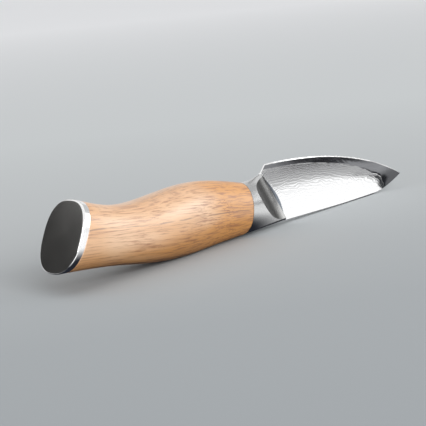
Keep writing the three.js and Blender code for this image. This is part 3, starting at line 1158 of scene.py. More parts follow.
class Finishes:
    """All finishes of the knife, each built once."""

    def __init__(self, ahead: Triple) -> None:
        """Builds the materials, for a bolster whose hollows open a given way.

        Args:
            ahead: the way that the hollows open.
        """
        surfaces = Surfaces()
        self.layers = LayeredSteel().build(surfaces)
        self.core = GroundSteel("core_steel", (0.6, 0.61, 0.63), (0.52, 0.53, 0.55), 0.06, 0.1,
                                (60.0, 900.0, 5200.0), 8e-7).build(surfaces)
        self.edge = GroundSteel("honed_edge", (0.95, 0.95, 0.95), (0.86, 0.86, 0.86), 0.18, 0.28,
                                (5200.0, 900.0, 900.0), 2e-6).build(surfaces)
        # The plain strip beside the bolster is polished steel without layers; its dark blue-grey colour is
        # painted shade.
        self.ricasso = GroundSteel("ricasso_steel", (0.24, 0.265, 0.3), (0.2, 0.22, 0.25), 0.12, 0.2,
                                   (2600.0, 900.0, 900.0), 2e-6).build(surfaces)
        self.polished = GroundSteel("polished_steel", (0.62, 0.625, 0.625), (0.56, 0.565, 0.565), 0.22, 0.28,
                                    (900.0, 900.0, 2600.0), 1.5e-6).build(surfaces)
        # The bolster's hollows take painted shade.
        self.hollow = HollowSteel(ahead).build(surfaces)
        self.rim = GroundSteel("polished_rim", (0.92, 0.92, 0.92), (0.84, 0.84, 0.84), 0.1, 0.16,
                               (2600.0, 300.0, 300.0), 6e-7).build(surfaces)
        self.satin = GroundSteel("satin_steel", (0.66, 0.65, 0.63), (0.62, 0.61, 0.59), 0.2, 0.24,
                                 (500.0, 4200.0, 500.0), 1e-6).build(surfaces)
        self.plain = GroundSteel("plain_steel", (0.5, 0.51, 0.52), (0.38, 0.38, 0.39), 0.35, 0.5,
                                 (3000.0, 500.0, 500.0), 8e-6).build(surfaces)
        self.wood = OiledWood().build(surfaces)
        self.resin = CuredResin().build(surfaces)


@dataclass(frozen=True)
class BladeForm:
    """Outline and layers of the blade, in millimetres."""

    length: float = 89.0
    heel_height: float = 22.8
    point_height: float = 5.6
    spine_curve: float = 27.0
    edge_heel_reach: float = 35.0
    edge_heel_rise: float = 0.2
    edge_point_reach: float = 19.0
    edge_point_rise: float = 10.4
    choil_run: float = 3.3
    choil_drop: float = 3.4
    spine_thickness: float = 1.9
    core_thickness: float = 0.6
    core_strip: float = 1.9
    core_point: float = 12.5
    line_reach: float = 38.0
    line_drop: float = 0.4
    line_turn: float = 7.5
    line_lift: float = 12.0
    ricasso_spine: float = 3.0
    ricasso_choil: float = 1.0
    root_base: float = 2.0
    root_height: float = 12.5
    root_depth: float = 10.0
    tang_height: float = 6.5
    tang_depth: float = 17.6
    bolster_reach: float = 8.8

    @property
    def half_spine(self) -> float:
        """Half thickness at the spine."""
        return self.spine_thickness / 2

    @property
    def half_core(self) -> float:
        """Half thickness of the core."""
        return self.core_thickness / 2

    @property
    def cladding_end(self) -> float:
        """Where the cladding runs out on the spine."""
        return self.length - self.core_point

    @property
    def choil_foot(self) -> tuple[float, float]:
        """Where the choil meets the bolster."""
        return -self.choil_run, self.heel_height - self.choil_drop

    @property
    def front_angle(self) -> float:
        """Lean of the bolster's front towards the handle."""
        foot = self.choil_foot
        return math.atan2(self.bolster_reach - foot[0], foot[1])

    def spine(self, x: np.ndarray) -> np.ndarray:
        """Height of the spine at a distance from the heel."""
        curved = np.maximum(x - (self.length - self.spine_curve), 0) / self.spine_curve
        return self.point_height * curved**2

    def front_x(self, z: float) -> float:
        """Place of the bolster's front at a height."""
        return self.bolster_reach - z * math.tan(self.front_angle)


@dataclass
class Blade:
    """Blade of three layers: a hard core between two layered claddings, with their root and stub tang.

    Attributes:
        form: its outline and layers, in millimetres.
        handle: the handle's sections, for the place of the stub tang.
        roll: how far the grind rolls off towards the core, in millimetres.
        roll_width: width of that roll-off.
        heel_roll: share of the roll-off that is left at the heel.
        heel_reach: how far from the heel it is whole.
        line_sag: how far the cladding line sags, and the place and width of the sag as shares of it.
        line_bulge: the same for its bulge near the point.
        bulge_fade: length in which the bulge runs out.
        waves: height as a share, length and start in radians of each wave of the cladding line.
        swell_places: where the waves begin to grow and where they are whole, as shares of the line.
        swell_sizes: their heights there.
        fades: lengths in which they set in at the heel and run out at the point.
        shoulder: width of the small slope that ends the cladding.
        shoulder_places: where that slope begins to grow and where it is whole, as shares of the columns.
        shoulder_rises: its heights there.
        spine_round: rounding of the spine's corners.
        plain_end: width of the plain strip beside the bolster at its ends.
        plain_swell: how much wider it is in the middle.
        settle_width: width of the columns that follow the ricasso on the spine.
        least_bevel: width of the honed bevel where it is narrowest.
        most_bevel: its width where it is widest.
        strip_places: places along the cladding, as shares of its length.
        strip_slopes: slope of the bare core towards the edge at each of them.
        strip_powers: how much that slope gathers near the edge, where 1 is an even slope.
        bevel_slope: slope of the honed bevel.
        bevel_taper: how fast the bevel widens from the point.
        edge_half: half thickness of the edge.
        line_count: points along the cladding line.
        point_count: points along the spine past the cladding.
        crease: edges that turn by more than this stay sharp, in degrees.
        feather: thickness that is left at the cladding's end.
        round_depth: depth of the spine's rounding, as a share of its width.
        plain_power: how much the plain strip's swell gathers in the middle.
        row_counts: rows of a cladding below, beside and above the root.
        extra_rows: heights of the rows that follow the spine's rounding and the cladding's end.
        edge_samples: samples along the edge.
        edge_share: share of the edge that lies over the cladding line.
        edge_pace: power by which its columns spread.
        strip_rows: rows of the bare core.
        bevel_share: most that the bevel takes of the bare core's width.
        thin_power: power by which the point thins.
    """

    form: BladeForm
    handle: HandleForm
    roll: float = 0.1
    roll_width: float = 6.5
    heel_roll: float = 0.45
    heel_reach: float = 34.0
    line_sag: Triple = (0.32, 0.53, 0.14)
    line_bulge: Triple = (1.6, 0.945, 0.05)
    bulge_fade: float = 4.0
    waves: tuple[Triple, ...] = ((0.5, 7.3, 0.0), (0.3, 3.9, 1.1), (0.25, 2.3, 2.6))
    swell_places: tuple[float, float] = (0.55, 0.9)
    swell_sizes: tuple[float, float] = (0.1, 0.32)
    fades: tuple[float, float] = (3.0, 2.0)
    shoulder: float = 0.25
    shoulder_places: tuple[float, float] = (0.7, 0.9)
    shoulder_rises: tuple[float, float] = (0.006, 0.05)
    spine_round: float = 0.12
    plain_end: float = 0.45
    plain_swell: float = 2.0
    settle_width: float = 1.6
    least_bevel: float = 0.29
    most_bevel: float = 0.46
    strip_places: tuple[float, ...] = (0.0, 0.1, 0.2, 0.3, 0.4, 0.54, 0.66, 0.74, 0.82, 0.9, 1.0)
    strip_slopes: tuple[float, ...] = (
        0.0, 0.023, 0.036, 0.046, 0.06, 0.086, 0.096, 0.096, 0.09, 0.072, 0.045,
    )
    strip_powers: tuple[float, ...] = (1.0, 1.0, 1.0, 1.0, 1.0, 1.0, 1.0, 1.7, 2.4, 2.5, 1.0)
    bevel_slope: float = 0.45
    bevel_taper: float = 0.03
    edge_half: float = 0.012
    line_count: int = 260
    point_count: int = 40
    crease: float = 4.0
    feather: float = 0.003
    round_depth: float = 0.6
    plain_power: float = 1.5
    row_counts: tuple[int, int, int] = (8, 26, 18)
    extra_rows: tuple[float, ...] = (0.003, 0.006, 0.97, 0.985, 0.992)
    edge_samples: int = 2000
    edge_share: float = 0.9
    edge_pace: float = 0.9
    strip_rows: int = 12
    bevel_share: float = 0.4
    thin_power: float = 1.7

    def __post_init__(self) -> None:
        """Lays out the curves that the layers share."""
        form = self.form
        foot = np.array(form.choil_foot)
        heel = np.array((0.0, form.heel_height))
        along = (heel - foot) / np.linalg.norm(heel - foot)
        start = form.heel_height - form.core_strip
        self.fork = np.array(((start - form.heel_height) * form.choil_run / form.choil_drop, start))
        stop = float(form.spine(np.array(form.cladding_end)))
        curve = bezier([
            tuple(self.fork),
            (form.line_reach, start - form.line_drop),
            (form.cladding_end - form.line_turn, stop + form.line_lift),
            (form.cladding_end, stop),
        ], self.line_count)
        self.plain_line, self.line = self.forged(curve)
        self.ridge_top = foot + along * form.ricasso_choil
        self.ridge_low = np.array((form.bolster_reach + form.ricasso_spine, 0.0))
        # Columns over the ricasso and over the fillet that follows it.
        ricasso, fillet = 21, 8
        choil = np.concatenate([
            np.linspace(foot, self.ridge_top, ricasso)[:-1],
            np.linspace(self.ridge_top, self.fork, fillet)[:-1],
        ])
        self.top = np.concatenate([choil, self.line])
        settled = self.ridge_low[0] + self.settle_width
        spread = (curve[:, 0] - curve[0, 0]) / (curve[-1, 0] - curve[0, 0])
        low_x = np.concatenate([
            np.linspace(form.bolster_reach, self.ridge_low[0], ricasso)[:-1],
            np.linspace(self.ridge_low[0], settled, fillet)[:-1],
            settled + (form.cladding_end - settled) * spread,
        ])
        self.low = np.stack([low_x, form.spine(low_x)], axis=1)

    def forged(self, curve: np.ndarray) -> tuple[np.ndarray, np.ndarray]:
        """Gives the cladding line the bends and the small waves that the forging leaves in it.

        Args:
            curve: the smooth line, as X and Z.

        Returns:
            The line with its bends, and with its waves too.
        """
        along = np.concatenate([[0], np.cumsum(np.linalg.norm(np.diff(curve, axis=0), axis=1))])
        slope = np.gradient(curve, axis=0)
        across = np.stack([-slope[:, 1], slope[:, 0]], axis=1)
        across /= np.linalg.norm(across, axis=1)[:, None]
        whole = along[-1]
        left = whole - along
        share = along / whole
        wave = sum(size * np.sin(math.tau * along / length + start) for size, length, start in self.waves)
        swell = np.interp(share, self.swell_places, self.swell_sizes)
        heel_fade, point_fade = self.fades
        fade = np.clip(left / point_fade, 0, 1) * np.clip(along / heel_fade, 0, 1)
        sag, bulge = (
            size * np.exp(-((share - place) / width)**2)
            for size, place, width in (self.line_sag, self.line_bulge)
        )
        bulge *= np.clip(left / self.bulge_fade, 0, 1)
        bent = curve + across * (bulge - sag)[:, None]
        return bent, bent + across * (wave * swell * fade)[:, None]

    def rows(self, lower: int, middle: int, upper: int) -> np.ndarray:
        """Gives the heights of the rows of a face, as shares, with rows at the root's base and top.

        Args:
            lower: rows below the root.
            middle: rows beside it.
            upper: rows above it.

        Returns:
            The shares, from 0 at the spine to 1 at the cladding line.
        """
        foot = self.form.choil_foot[1]
        base = self.form.root_base / foot
        top = (self.form.root_base + self.form.root_height) / foot
        spans = [(0, base, lower), (base, top, middle), (top, 1, upper)]
        shares = [np.linspace(a, b, n, endpoint=False) for a, b, n in spans]
        return np.concatenate([*shares, [1.0]])

    def outline_points(self, shares: np.ndarray) -> np.ndarray:
        """Spans the side of the cladding with columns and rows.

        Args:
            shares: heights of the rows.

        Returns:
            X and Z of each point.
        """
        share = shares[None, :, None]
        return self.low[:, None, :] * (1 - share) + self.top[:, None, :] * share

    def distance_to(self, points: np.ndarray, line: np.ndarray) -> np.ndarray:
        """Gives the least distance of points to a line of samples."""
        gaps = np.linalg.norm(points[..., None, :] - line, axis=-1)
        return gaps.min(axis=-1)

    def ahead_of(self, points: np.ndarray, low: np.ndarray, high: np.ndarray) -> np.ndarray:
        """Gives how far points lie ahead of a straight line from its low end to its high end."""
        line = high - low
        return (points - low) @ (np.array((line[1], -line[0])) / np.linalg.norm(line))

    def cladding_half(self, points: np.ndarray, shares: np.ndarray) -> np.ndarray:
        """Gives the half thickness of the blade on the cladding.

        Args:
            points: X and Z on the side of the blade, in columns and rows.
            shares: heights of the rows.

        Returns:
            The half thickness at each point.
        """
        form = self.form
        x = np.clip(points[..., 0], 0, None)
        columns = np.linspace(0, 1, len(self.top))
        rise = np.interp(columns, self.shoulder_places, self.shoulder_rises)
        roll = self.roll * np.interp(self.top[:, 0], (0, self.heel_reach), (self.heel_roll, 1))[:, None]
        low = form.half_core + roll + rise[:, None]
        wear = 1 - (x / form.cladding_end)**2
        at_spine = np.maximum(form.half_core + (form.half_spine - form.half_core) * wear, low)
        flat = at_spine + (low - at_spine) * shares[None, :]
        near = np.clip(1 - self.distance_to(points, self.plain_line[::2]) / self.roll_width, 0, 1)
        ground = flat - roll * near**2
        passed = self.ahead_of(points, np.array((form.bolster_reach, 0.0)), np.array(form.choil_foot))
        ricasso = passed - self.ahead_of(points, self.ridge_low, self.ridge_top)
        gone = np.clip(passed / np.maximum(ricasso, 1e-3), 0, 1)
        half = ground + (form.half_spine - ground) * (1 - gone)**2
        slope = self.distance_to(points, self.line) / self.shoulder
        least = form.half_core + self.feather
        half = least + (half - form.half_core - self.feather) * np.clip(slope, 0, 1)
        corner = np.clip(1 - (points[..., 1] - form.spine(points[..., 0])) / self.spine_round, 0, 1)
        rounded = half > form.half_core + self.spine_round
        return half - self.spine_round * self.round_depth * corner**2 * rounded

    def plain_faces(self, flat: np.ndarray) -> np.ndarray:
        """Marks the faces of the narrow strip beside the bolster, where the layers stay polished away; these
        faces take a dark colour that is partly painted shade.

        Args:
            flat: X and Z of the points on the side of the cladding.

        Returns:
            1 for a face on the strip and 0 for the others, in columns and rows.
        """
        middles = (flat[:-1, :-1] + flat[1:, 1:]) / 2
        foot = np.array(self.form.choil_foot)
        passed = self.ahead_of(middles, np.array((self.form.bolster_reach, 0.0)), foot)
        swell = np.sin(math.pi * np.clip(middles[..., 1] / foot[1], 0, 1))
        return (passed < self.plain_end + self.plain_swell * swell**self.plain_power).astype(int)

    def root_outline(self) -> np.ndarray:
        """Gives the outline of the root and stub tang, from the root's top at the bolster to its base.

        Returns:
            X and Z of its corners, in that order.
        """
        form = self.form
        top = form.root_base + form.root_height
        end = -self.handle.heel_to_seam - form.tang_depth
        middle = self.handle.centres[0] + math.tan(self.handle.tang_angle) * form.tang_depth / 2
        low, high = middle - form.tang_height / 2, middle + form.tang_height / 2
        return np.array([
            (form.front_x(top), top),
            (-form.root_depth, top),
            (-form.root_depth, high),
            (end, high),
            (end, low),
            (-form.root_depth, low),
            (-form.root_depth, form.root_base),
            (form.front_x(form.root_base), form.root_base),
        ])

    def add_root(self, patches: Patchwork, front: np.ndarray, faces: tuple[float, float], first: int,
                 last: int) -> None:
        """Adds the front of a layer, with the root and stub tang that run on behind it.

        Args:
            patches: the layer's patches.
            front: X and Z of the rows at the bolster's front.
            faces: Y of the layer's two faces.
            first: row at the root's base.
            last: row at the root's top.
        """
        outline = self.root_outline()
        for y in faces:
            ring = np.concatenate([outline, front[first + 1:last]])
            patches.face(np.insert(ring, 1, y, axis=1))
        walls = np.stack([np.insert(outline, 1, y, axis=1) for y in faces], axis=1)
        patches.grid(walls)

    def build_cladding(self, side: Side, finishes: Finishes, bench: Bench) -> None:
        """Builds one cladding.

        Args:
            side: its side of the blade.
            finishes: the knife's finishes.
            bench: where the drawing lies in the frame.
        """
        shares = np.unique(np.concatenate([self.rows(*self.row_counts), self.extra_rows]))
        first = int(np.argmin(np.abs(shares - self.form.root_base / self.form.choil_foot[1])))
        root_top = (self.form.root_base + self.form.root_height) / self.form.choil_foot[1]
        last = int(np.argmin(np.abs(shares - root_top)))
        flat = self.outline_points(shares)
        half = self.cladding_half(flat, shares)
        outer = np.stack([flat[..., 0], side.value * half, flat[..., 1]], axis=-1)
        under = np.full_like(half, side.value * self.form.half_core)
        inner = np.stack([flat[..., 0], under, flat[..., 1]], axis=-1)
        patches = Patchwork()
        patches.grid(outer, self.plain_faces(flat))
        patches.grid(inner)
        both = np.stack([outer, inner], axis=2)
        for row in (0, -1):
            patches.grid(both[:, row])
        for rows in (slice(0, first + 1), slice(last, None)):
            patches.grid(both[0, rows])
        faces = (side.value * self.form.half_core, side.value * self.form.half_spine)
        self.add_root(patches, flat[0], faces, first, last)
        name = f"{side.name.lower()}_cladding"
        piece = patches.piece(name + "_layers", [finishes.layers, finishes.ricasso], bench, self.crease)
        settle(piece, name)

    def strip(self) -> tuple[np.ndarray, np.ndarray]:
        """Lays out the bare core between the cladding line and the edge.

        Returns:
            X and Z of the points in columns and rows, and the half thickness at each.
        """
        form = self.form
        beyond = np.linspace(form.cladding_end, form.length, self.point_count + 1)[1:]
        low = np.concatenate([self.line, np.stack([beyond, form.spine(beyond)], axis=1)])
        fine = bezier([
            (0.0, form.heel_height),
            (form.edge_heel_reach, form.heel_height + form.edge_heel_rise),
            (form.length - form.edge_point_reach, form.point_height + form.edge_point_rise),
            (form.length, form.point_height),
        ], self.edge_samples)
        count = len(low)
        turn = self.line_count
        share = np.concatenate([
            self.edge_share * np.linspace(0, 1, turn)**self.edge_pace,
            np.linspace(self.edge_share, 1.0, count - turn + 1)[1:],
        ])
        along = np.concatenate([[0], np.cumsum(np.linalg.norm(np.diff(fine, axis=0), axis=1))])
        high = np.stack([np.interp(share * along[-1], along, fine[:, k]) for k in (0, 1)], axis=1)
        width = self.distance_to(high, low)
        thin = np.clip((low[:, 0] - form.cladding_end) / form.core_point, 0, 1)
        base = self.edge_half + (form.half_core - self.edge_half) * (1 - thin)**self.thin_power
        slope = np.interp(low[:, 0] / form.cladding_end, self.strip_places, self.strip_slopes)
        left = base - slope * width - self.edge_half
        widest = np.minimum(self.most_bevel, self.bevel_taper * (form.length - high[:, 0]))
        widest = np.minimum(widest, self.bevel_share * width)
        bevel = np.clip(left / (self.bevel_slope - slope), self.least_bevel, widest)
        start = 1 - bevel / np.maximum(width, 1e-6)
        parts = np.linspace(0, 1, self.strip_rows)
        shares = np.concatenate([start[:, None] * parts[None, :], np.ones((count, 1))], axis=1)
        flat = low[:, None, :] * (1 - shares[..., None]) + high[:, None, :] * shares[..., None]
        honed = self.edge_half + self.bevel_slope * bevel
        bevel_half = np.minimum(np.maximum(base - slope * (width - bevel), honed), base)
        power = np.interp(low[:, 0] / form.cladding_end, self.strip_places, self.strip_powers)
        grind = base[:, None] + (bevel_half - base)[:, None] * parts[None, :]**power[:, None]
        edge = np.full((count, 1), self.edge_half)
        return flat, np.concatenate([grind, edge], axis=1)

    def build_core(self, finishes: Finishes, bench: Bench) -> None:
        """Builds the core.

        Args:
            finishes: the knife's finishes.
            bench: where the drawing lies in the frame.
        """
        half = self.form.half_core
        hidden = self.outline_points(self.rows(1, 1, 1))
        strip, strip_half = self.strip()
        bevel_marks = np.zeros((1, strip.shape[1] - 1), int)
        bevel_marks[0, -1] = 1
        patches = Patchwork()
        sides = []
        for side in Side:
            under = np.insert(hidden, 1, side.value * half, axis=2)
            bare = np.stack([strip[..., 0], side.value * strip_half, strip[..., 1]], axis=-1)
            patches.grid(under)
            patches.grid(bare, bevel_marks)
            sides.append((under, bare))
        under, bare = (np.stack(pair, axis=2) for pair in zip(*sides))
        fork = len(self.top) - self.line_count
        patches.grid(under[:, 0])
        patches.grid(bare[self.line_count - 1:, 0])
        patches.grid(under[:fork + 1, -1], 1)
        patches.grid(bare[0], 1)
        patches.grid(bare[:, -1], 1)
        for rows in (slice(0, 2), slice(2, None)):
            patches.grid(under[0, rows])
        self.add_root(patches, hidden[0], (-half, half), 1, 2)
        piece = patches.piece("core_plate", [finishes.core, finishes.edge], bench, self.crease)
        settle(piece, "blade_core")


@dataclass
class Bolster:
    """Hollow-ground bolster with its slots for the root and the stub tang, in millimetres.

    Attributes:
        blade: the blade's outline.
        handle: the handle's sections.
        front_width: width at the front before the hollow grind.
        dip_reach: how far the edge side dips behind the choil.
        dip: how far it dips below the choil.
        wheel: radius of the wheel that hollows each side.
        hollow_start: slope of the hollow where it meets the lip, in degrees.
        wheel_lean: lean of the wheel towards the blade at the choil, in degrees.
        lip: how far it stands proud of the ricasso at the spine.
        bond: gap for the braze.
        overlap: how far the tang slot runs into the root slot.
        rings: sections of the skin.
    """

    blade: BladeForm
    handle: HandleForm
    front_width: float = 8.5
    dip_reach: float = 5.4
    dip: float = 2.0
    wheel: float = 18.0
    hollow_start: float = 5.5
    wheel_lean: float = 2.4
    lip: float = 1.26
    bond: float = 0.15
    overlap: float = 1.0
    rings: int = 48

    def sections(self) -> list[Section]:
        """Gives the sections from the seam to the slanted front.

        Returns:
            The sections.
        """
        seam = self.handle.section(0)
        reach = np.array((math.sin(seam.slant), math.cos(seam.slant))) * seam.half_height
        middle = np.array((seam.x, seam.z))
        foot = np.array(self.blade.choil_foot)
        dip = foot - np.array((self.dip_reach, self.dip))
        high = bezier([tuple(middle + reach), tuple(dip), tuple(foot)], self.rings)
        low = bezier([tuple(middle - reach), (self.blade.bolster_reach, 0.0)], self.rings)
        widths = np.linspace(2 * seam.half_width, self.front_width, self.rings)
        made = []
        for top, bottom, width in zip(high, low, widths):
            x, z = (top + bottom) / 2
            lean = math.atan2(top[0] - bottom[0], top[1] - bottom[1])
            half = np.linalg.norm(top - bottom) / 2
            made.append(Section(x, z, half, width / 2, lean, self.handle.seam_power))
        return made

    def tools(self) -> list[Cutter]:
        """Gives the wheels that hollow the sides and the slots for the root and the tang.

        Returns:
            The tools.
        """
        blade = self.blade
        angle = blade.front_angle
        start = math.radians(self.hollow_start)
        ahead = self.wheel * math.sin(start)
        aside = blade.half_spine + self.lip + self.wheel * math.cos(start)
        # Longer than the bolster, so that each cut runs out of it.
        long = 4 * self.wheel
        size = (2 * self.wheel, 2 * self.wheel, long)
        cutters = []
        for side in Side:
            x = blade.bolster_reach + ahead * math.cos(angle)
            place = (x, side.value * aside, ahead * math.sin(angle))
            lean = side.value * math.radians(self.wheel_lean)
            cutters.append(Cutter(f"{side.name.lower()} wheel", Tool.ROUND, size, place, -angle, lean, True))
        slot = 2 * (blade.half_spine + self.bond)
        top = blade.root_base + blade.root_height
        back = -blade.root_depth - self.bond
        root_height = blade.root_height + 2 * self.bond
        cutters.append(Cutter("root slot", Tool.SQUARE, (long, slot, root_height),
                              (back + long / 2, 0.0, (blade.root_base + top) / 2)))
        middle = self.handle.centres[0] + math.tan(self.handle.tang_angle) * blade.tang_depth / 2
        tang_height = blade.tang_height + 2 * self.bond
        cutters.append(Cutter("tang slot", Tool.SQUARE, (long, slot, tang_height),
                              (back + self.overlap - long / 2, 0.0, middle)))
        return cutters

    def build(self, finishes: Finishes, bench: Bench) -> None:
        """Builds the bolster.

        Args:
            finishes: the knife's finishes.
            bench: where the drawing lies in the frame.
        """
        loft = Loft("bolster_loft", cuts=self.tools(), tool_sides=360, crease=9.0)
        piece = loft.make("hollow_bolster", self.sections(), [finishes.polished, finishes.hollow], bench)
        settle(piece, "bolster")


@dataclass
class Handle:
    """One-piece wooden handle with the bores for its fastening, in millimetres.

    Attributes:
        form: its sections.
        rings: sections of the skin.
        skin: how far the skin lies inside the drawn sections.
        ease: rounding of its two ends.
        seam: gap at its two ends.
        pocket_diameter: hole for the stub tang.
        pocket_depth: its depth.
        rod_hole: hole for the rod.
        seat_depth: bottom of the counterbore ahead of the cap.
        counterbore: its diameter.
        peg_hole: hole for a peg of the cap.
        peg_spacing: between the two pegs.
        peg_depth: depth of a peg's hole.
    """

    form: HandleForm
    rings: int = 150
    skin: float = 0.012
    ease: float = 0.2
    seam: float = 0.04
    pocket_diameter: float = 9.6
    pocket_depth: float = 21.0
    rod_hole: float = 6.0
    seat_depth: float = 11.5
    counterbore: float = 10.6
    peg_hole: float = 2.8
    peg_spacing: float = 15.2
    peg_depth: float = 5.15

    def cap_plane(self, offset: float) -> float:
        """Distance along the tang's line to the wood's rear face, for a bar moved off the line.

        Args:
            offset: how far the bar lies above the line.

        Returns:
            The distance behind the seam.
        """
        form = self.form
        lean = math.radians(form.butt_slant) - form.tang_angle
        return form.cap_joint / math.cos(form.tang_angle) - offset * math.tan(lean)

    def bores(self) -> list[Cutter]:
        """Gives the bores along the tang's line.

        Returns:
            The bores.
        """
        form = self.form
        seat = self.cap_plane(0) - self.seat_depth
        past = form.length
        bores = [
            form.bar("pocket", self.pocket_diameter, -self.pocket_depth, self.pocket_depth),
            form.bar("rod hole", self.rod_hole, 0, past),
            form.bar("counterbore", self.counterbore, seat, seat + past),
        ]
        for name, way in (("lower peg hole", -1), ("upper peg hole", 1)):
            offset = way * self.peg_spacing / 2
            bottom = self.cap_plane(offset) - self.peg_depth
            bores.append(form.bar(name, self.peg_hole, bottom, bottom + past, offset))
        return bores

    def build(self, finishes: Finishes, bench: Bench) -> None:
        """Builds the handle.

        Args:
            finishes: the knife's finishes.
            bench: where the drawing lies in the frame.
        """
        start, end = self.seam, self.form.cap_joint - self.seam
        sections = [self.form.section(start, self.ease)]
        middle = np.linspace(start + self.ease, end - self.ease, self.rings)
        sections += [self.form.section(distance, self.skin) for distance in middle]
        sections.append(self.form.section(end, self.ease))
        loft = Loft("handle_loft", cuts=self.bores())
        piece = loft.make("wooden_handle", sections, [finishes.wood], bench)
        settle(piece, "handle")


@dataclass
class EndCap:
    """Slanted steel cap with two pegs into the wood, in millimetres.

    Attributes:
        handle: the wood that it closes.
        axis: the way that its butt face looks in the frame.
        skin: how far the skin lies inside the drawn sections.
        rim: rounding round the butt face.
        rim_rings: sections of that rounding.
        band_rings: sections of the band between the chamfer and the rounding.
        ease: chamfer beside the wood.
        peg_diameter: of its pegs.
        peg_depth: how far they reach into the wood.
    """

    handle: Handle
    axis: Triple
    skin: float = 0.02
    rim: float = 0.65
    rim_rings: int = 10
    band_rings: int = 8
    ease: float = 0.12
    peg_diameter: float = 2.5
    peg_depth: float = 5.0

    def pegs(self) -> list[Cutter]:
        """Gives the two pegs.

        Returns:
            The pegs.
        """
        form = self.handle.form
        pegs = []
        for name, way in (("lower peg", -1), ("upper peg", 1)):
            offset = way * self.handle.peg_spacing / 2
            joint = self.handle.cap_plane(offset)
            start, end = joint - self.peg_depth, joint + form.cap_thickness / 2
            pegs.append(form.bar(name, self.peg_diameter, start, end, offset))
        return pegs

    def build(self, finishes: Finishes, bench: Bench) -> None:
        """Builds the cap.

        Args:
            finishes: the knife's finishes.
            bench: where the drawing lies in the frame.
        """
        form = self.handle.form
        end = form.length - self.skin
        sections = [form.section(form.cap_joint, self.skin + self.ease)]
        band = np.linspace(form.cap_joint + self.ease, end - self.rim, self.band_rings)
        sections += [form.section(distance, self.skin) for distance in band]
        for turn in np.linspace(0, math.pi / 2, self.rim_rings)[1:]:
            inset = self.skin + self.rim * (1 - math.cos(turn))
            sections.append(form.section(end - self.rim * (1 - math.sin(turn)), inset))
        loft = Loft("cap_loft", joins=self.pegs(), facing=self.axis)
        piece = loft.make("butt_cap", sections, [finishes.rim, finishes.satin], bench)
        settle(piece, "end_cap")


@dataclass
class TangFastening:
    """Threaded rod inside the handle, with the resin, washer and nut that keep their solids, in millimetres.

    Attributes:
        blade: the blade, whose stub tang sits in the rod's slot.
        handle: the wood that they hold.
        nodes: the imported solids.
        rod_diameter: of the rod.
        lap: how far the rod laps over the stub tang.
        stack: from the nut's seat to the rod's end.
        bond: gap for the braze.
        pitch: of the thread.
        thread_depth: depth of the thread.
        thread_length: length of the thread.
        run_out: length in which the thread runs out.
        chamfer: chamfer on the rod's end.
        turn_rows: sections in a turn of the thread.
    """

    blade: Blade
    handle: Handle
    nodes: dict[str, Object]
    rod_diameter: float = 5.0
    lap: float = 10.0
    stack: float = 6.2
    bond: float = 0.15
    pitch: float = 0.8
    thread_depth: float = 0.45
    thread_length: float = 22.0
    run_out: float = 1.6
    chamfer: float = 0.4
    turn_rows: int = 16

    def ring(self, distance: float, inset: float, thread: float) -> Section:
        """Gives one section of the rod.

        Args:
            distance: how far it lies behind the seam.
            inset: how far it lies inside the rod's surface.
            thread: depth of the thread there.

        Returns:
            The section.
        """
        radius = self.rod_diameter / 2
        form = self.handle.form
        x, _, z = form.on_tang(distance)
        half = radius - inset
        return Section(x, z, half, half, form.tang_angle, 2.0, distance / self.pitch, thread / radius)

    def slot(self) -> Cutter:
        """Gives the slot for the stub tang.

        Returns:
            The slot.
        """
        ends = self.blade.root_outline()[3:5]
        low, high = ends.min(axis=0)[1] - self.bond, ends.max(axis=0)[1] + self.bond
        back = ends[0, 0] - self.bond
        size = (-back, 2 * (self.blade.form.half_spine + self.bond), high - low)
        return Cutter("tang slot", Tool.SQUARE, size, (back / 2, 0.0, (low + high) / 2))

    def build_rod(self, finishes: Finishes, bench: Bench) -> None:
        """Builds the rod.

        Args:
            finishes: the knife's finishes.
            bench: where the drawing lies in the frame.
        """
        start = self.blade.form.tang_depth - self.lap
        end = self.handle.cap_plane(0) - self.handle.seat_depth + self.stack
        first = end - self.thread_length
        rows = round(self.turn_rows * self.thread_length / self.pitch)
        sections = [self.ring(start, 0.0, 0.0)]
        for distance in np.linspace(first, end, rows):
            grown = min((distance - first) / self.run_out, 1)
            inset = max(distance - end + self.chamfer, 0)
            sections.append(self.ring(distance, inset, self.thread_depth * grown))
        loft = Loft("rod_loft", cuts=[self.slot()], ring_points=48, crease=50.0)
        piece = loft.make("threaded_rod", sections, [finishes.plain], bench)
        settle(piece, "tang_rod")

    def dress(self, finishes: Finishes) -> None:
        """Gives the other inner pieces their finishes.

        Args:
            finishes: the knife's finishes.
        """
        looks = {
            "tang_bedding": finishes.resin,
            "tang_washer": finishes.plain,
            "tang_nut": finishes.plain,
        }
        for name, material in looks.items():
            mesh = self.nodes[name].data
            mesh.materials.clear()
            mesh.materials.append(material)
            LOG.info("%s: kept solid", name)


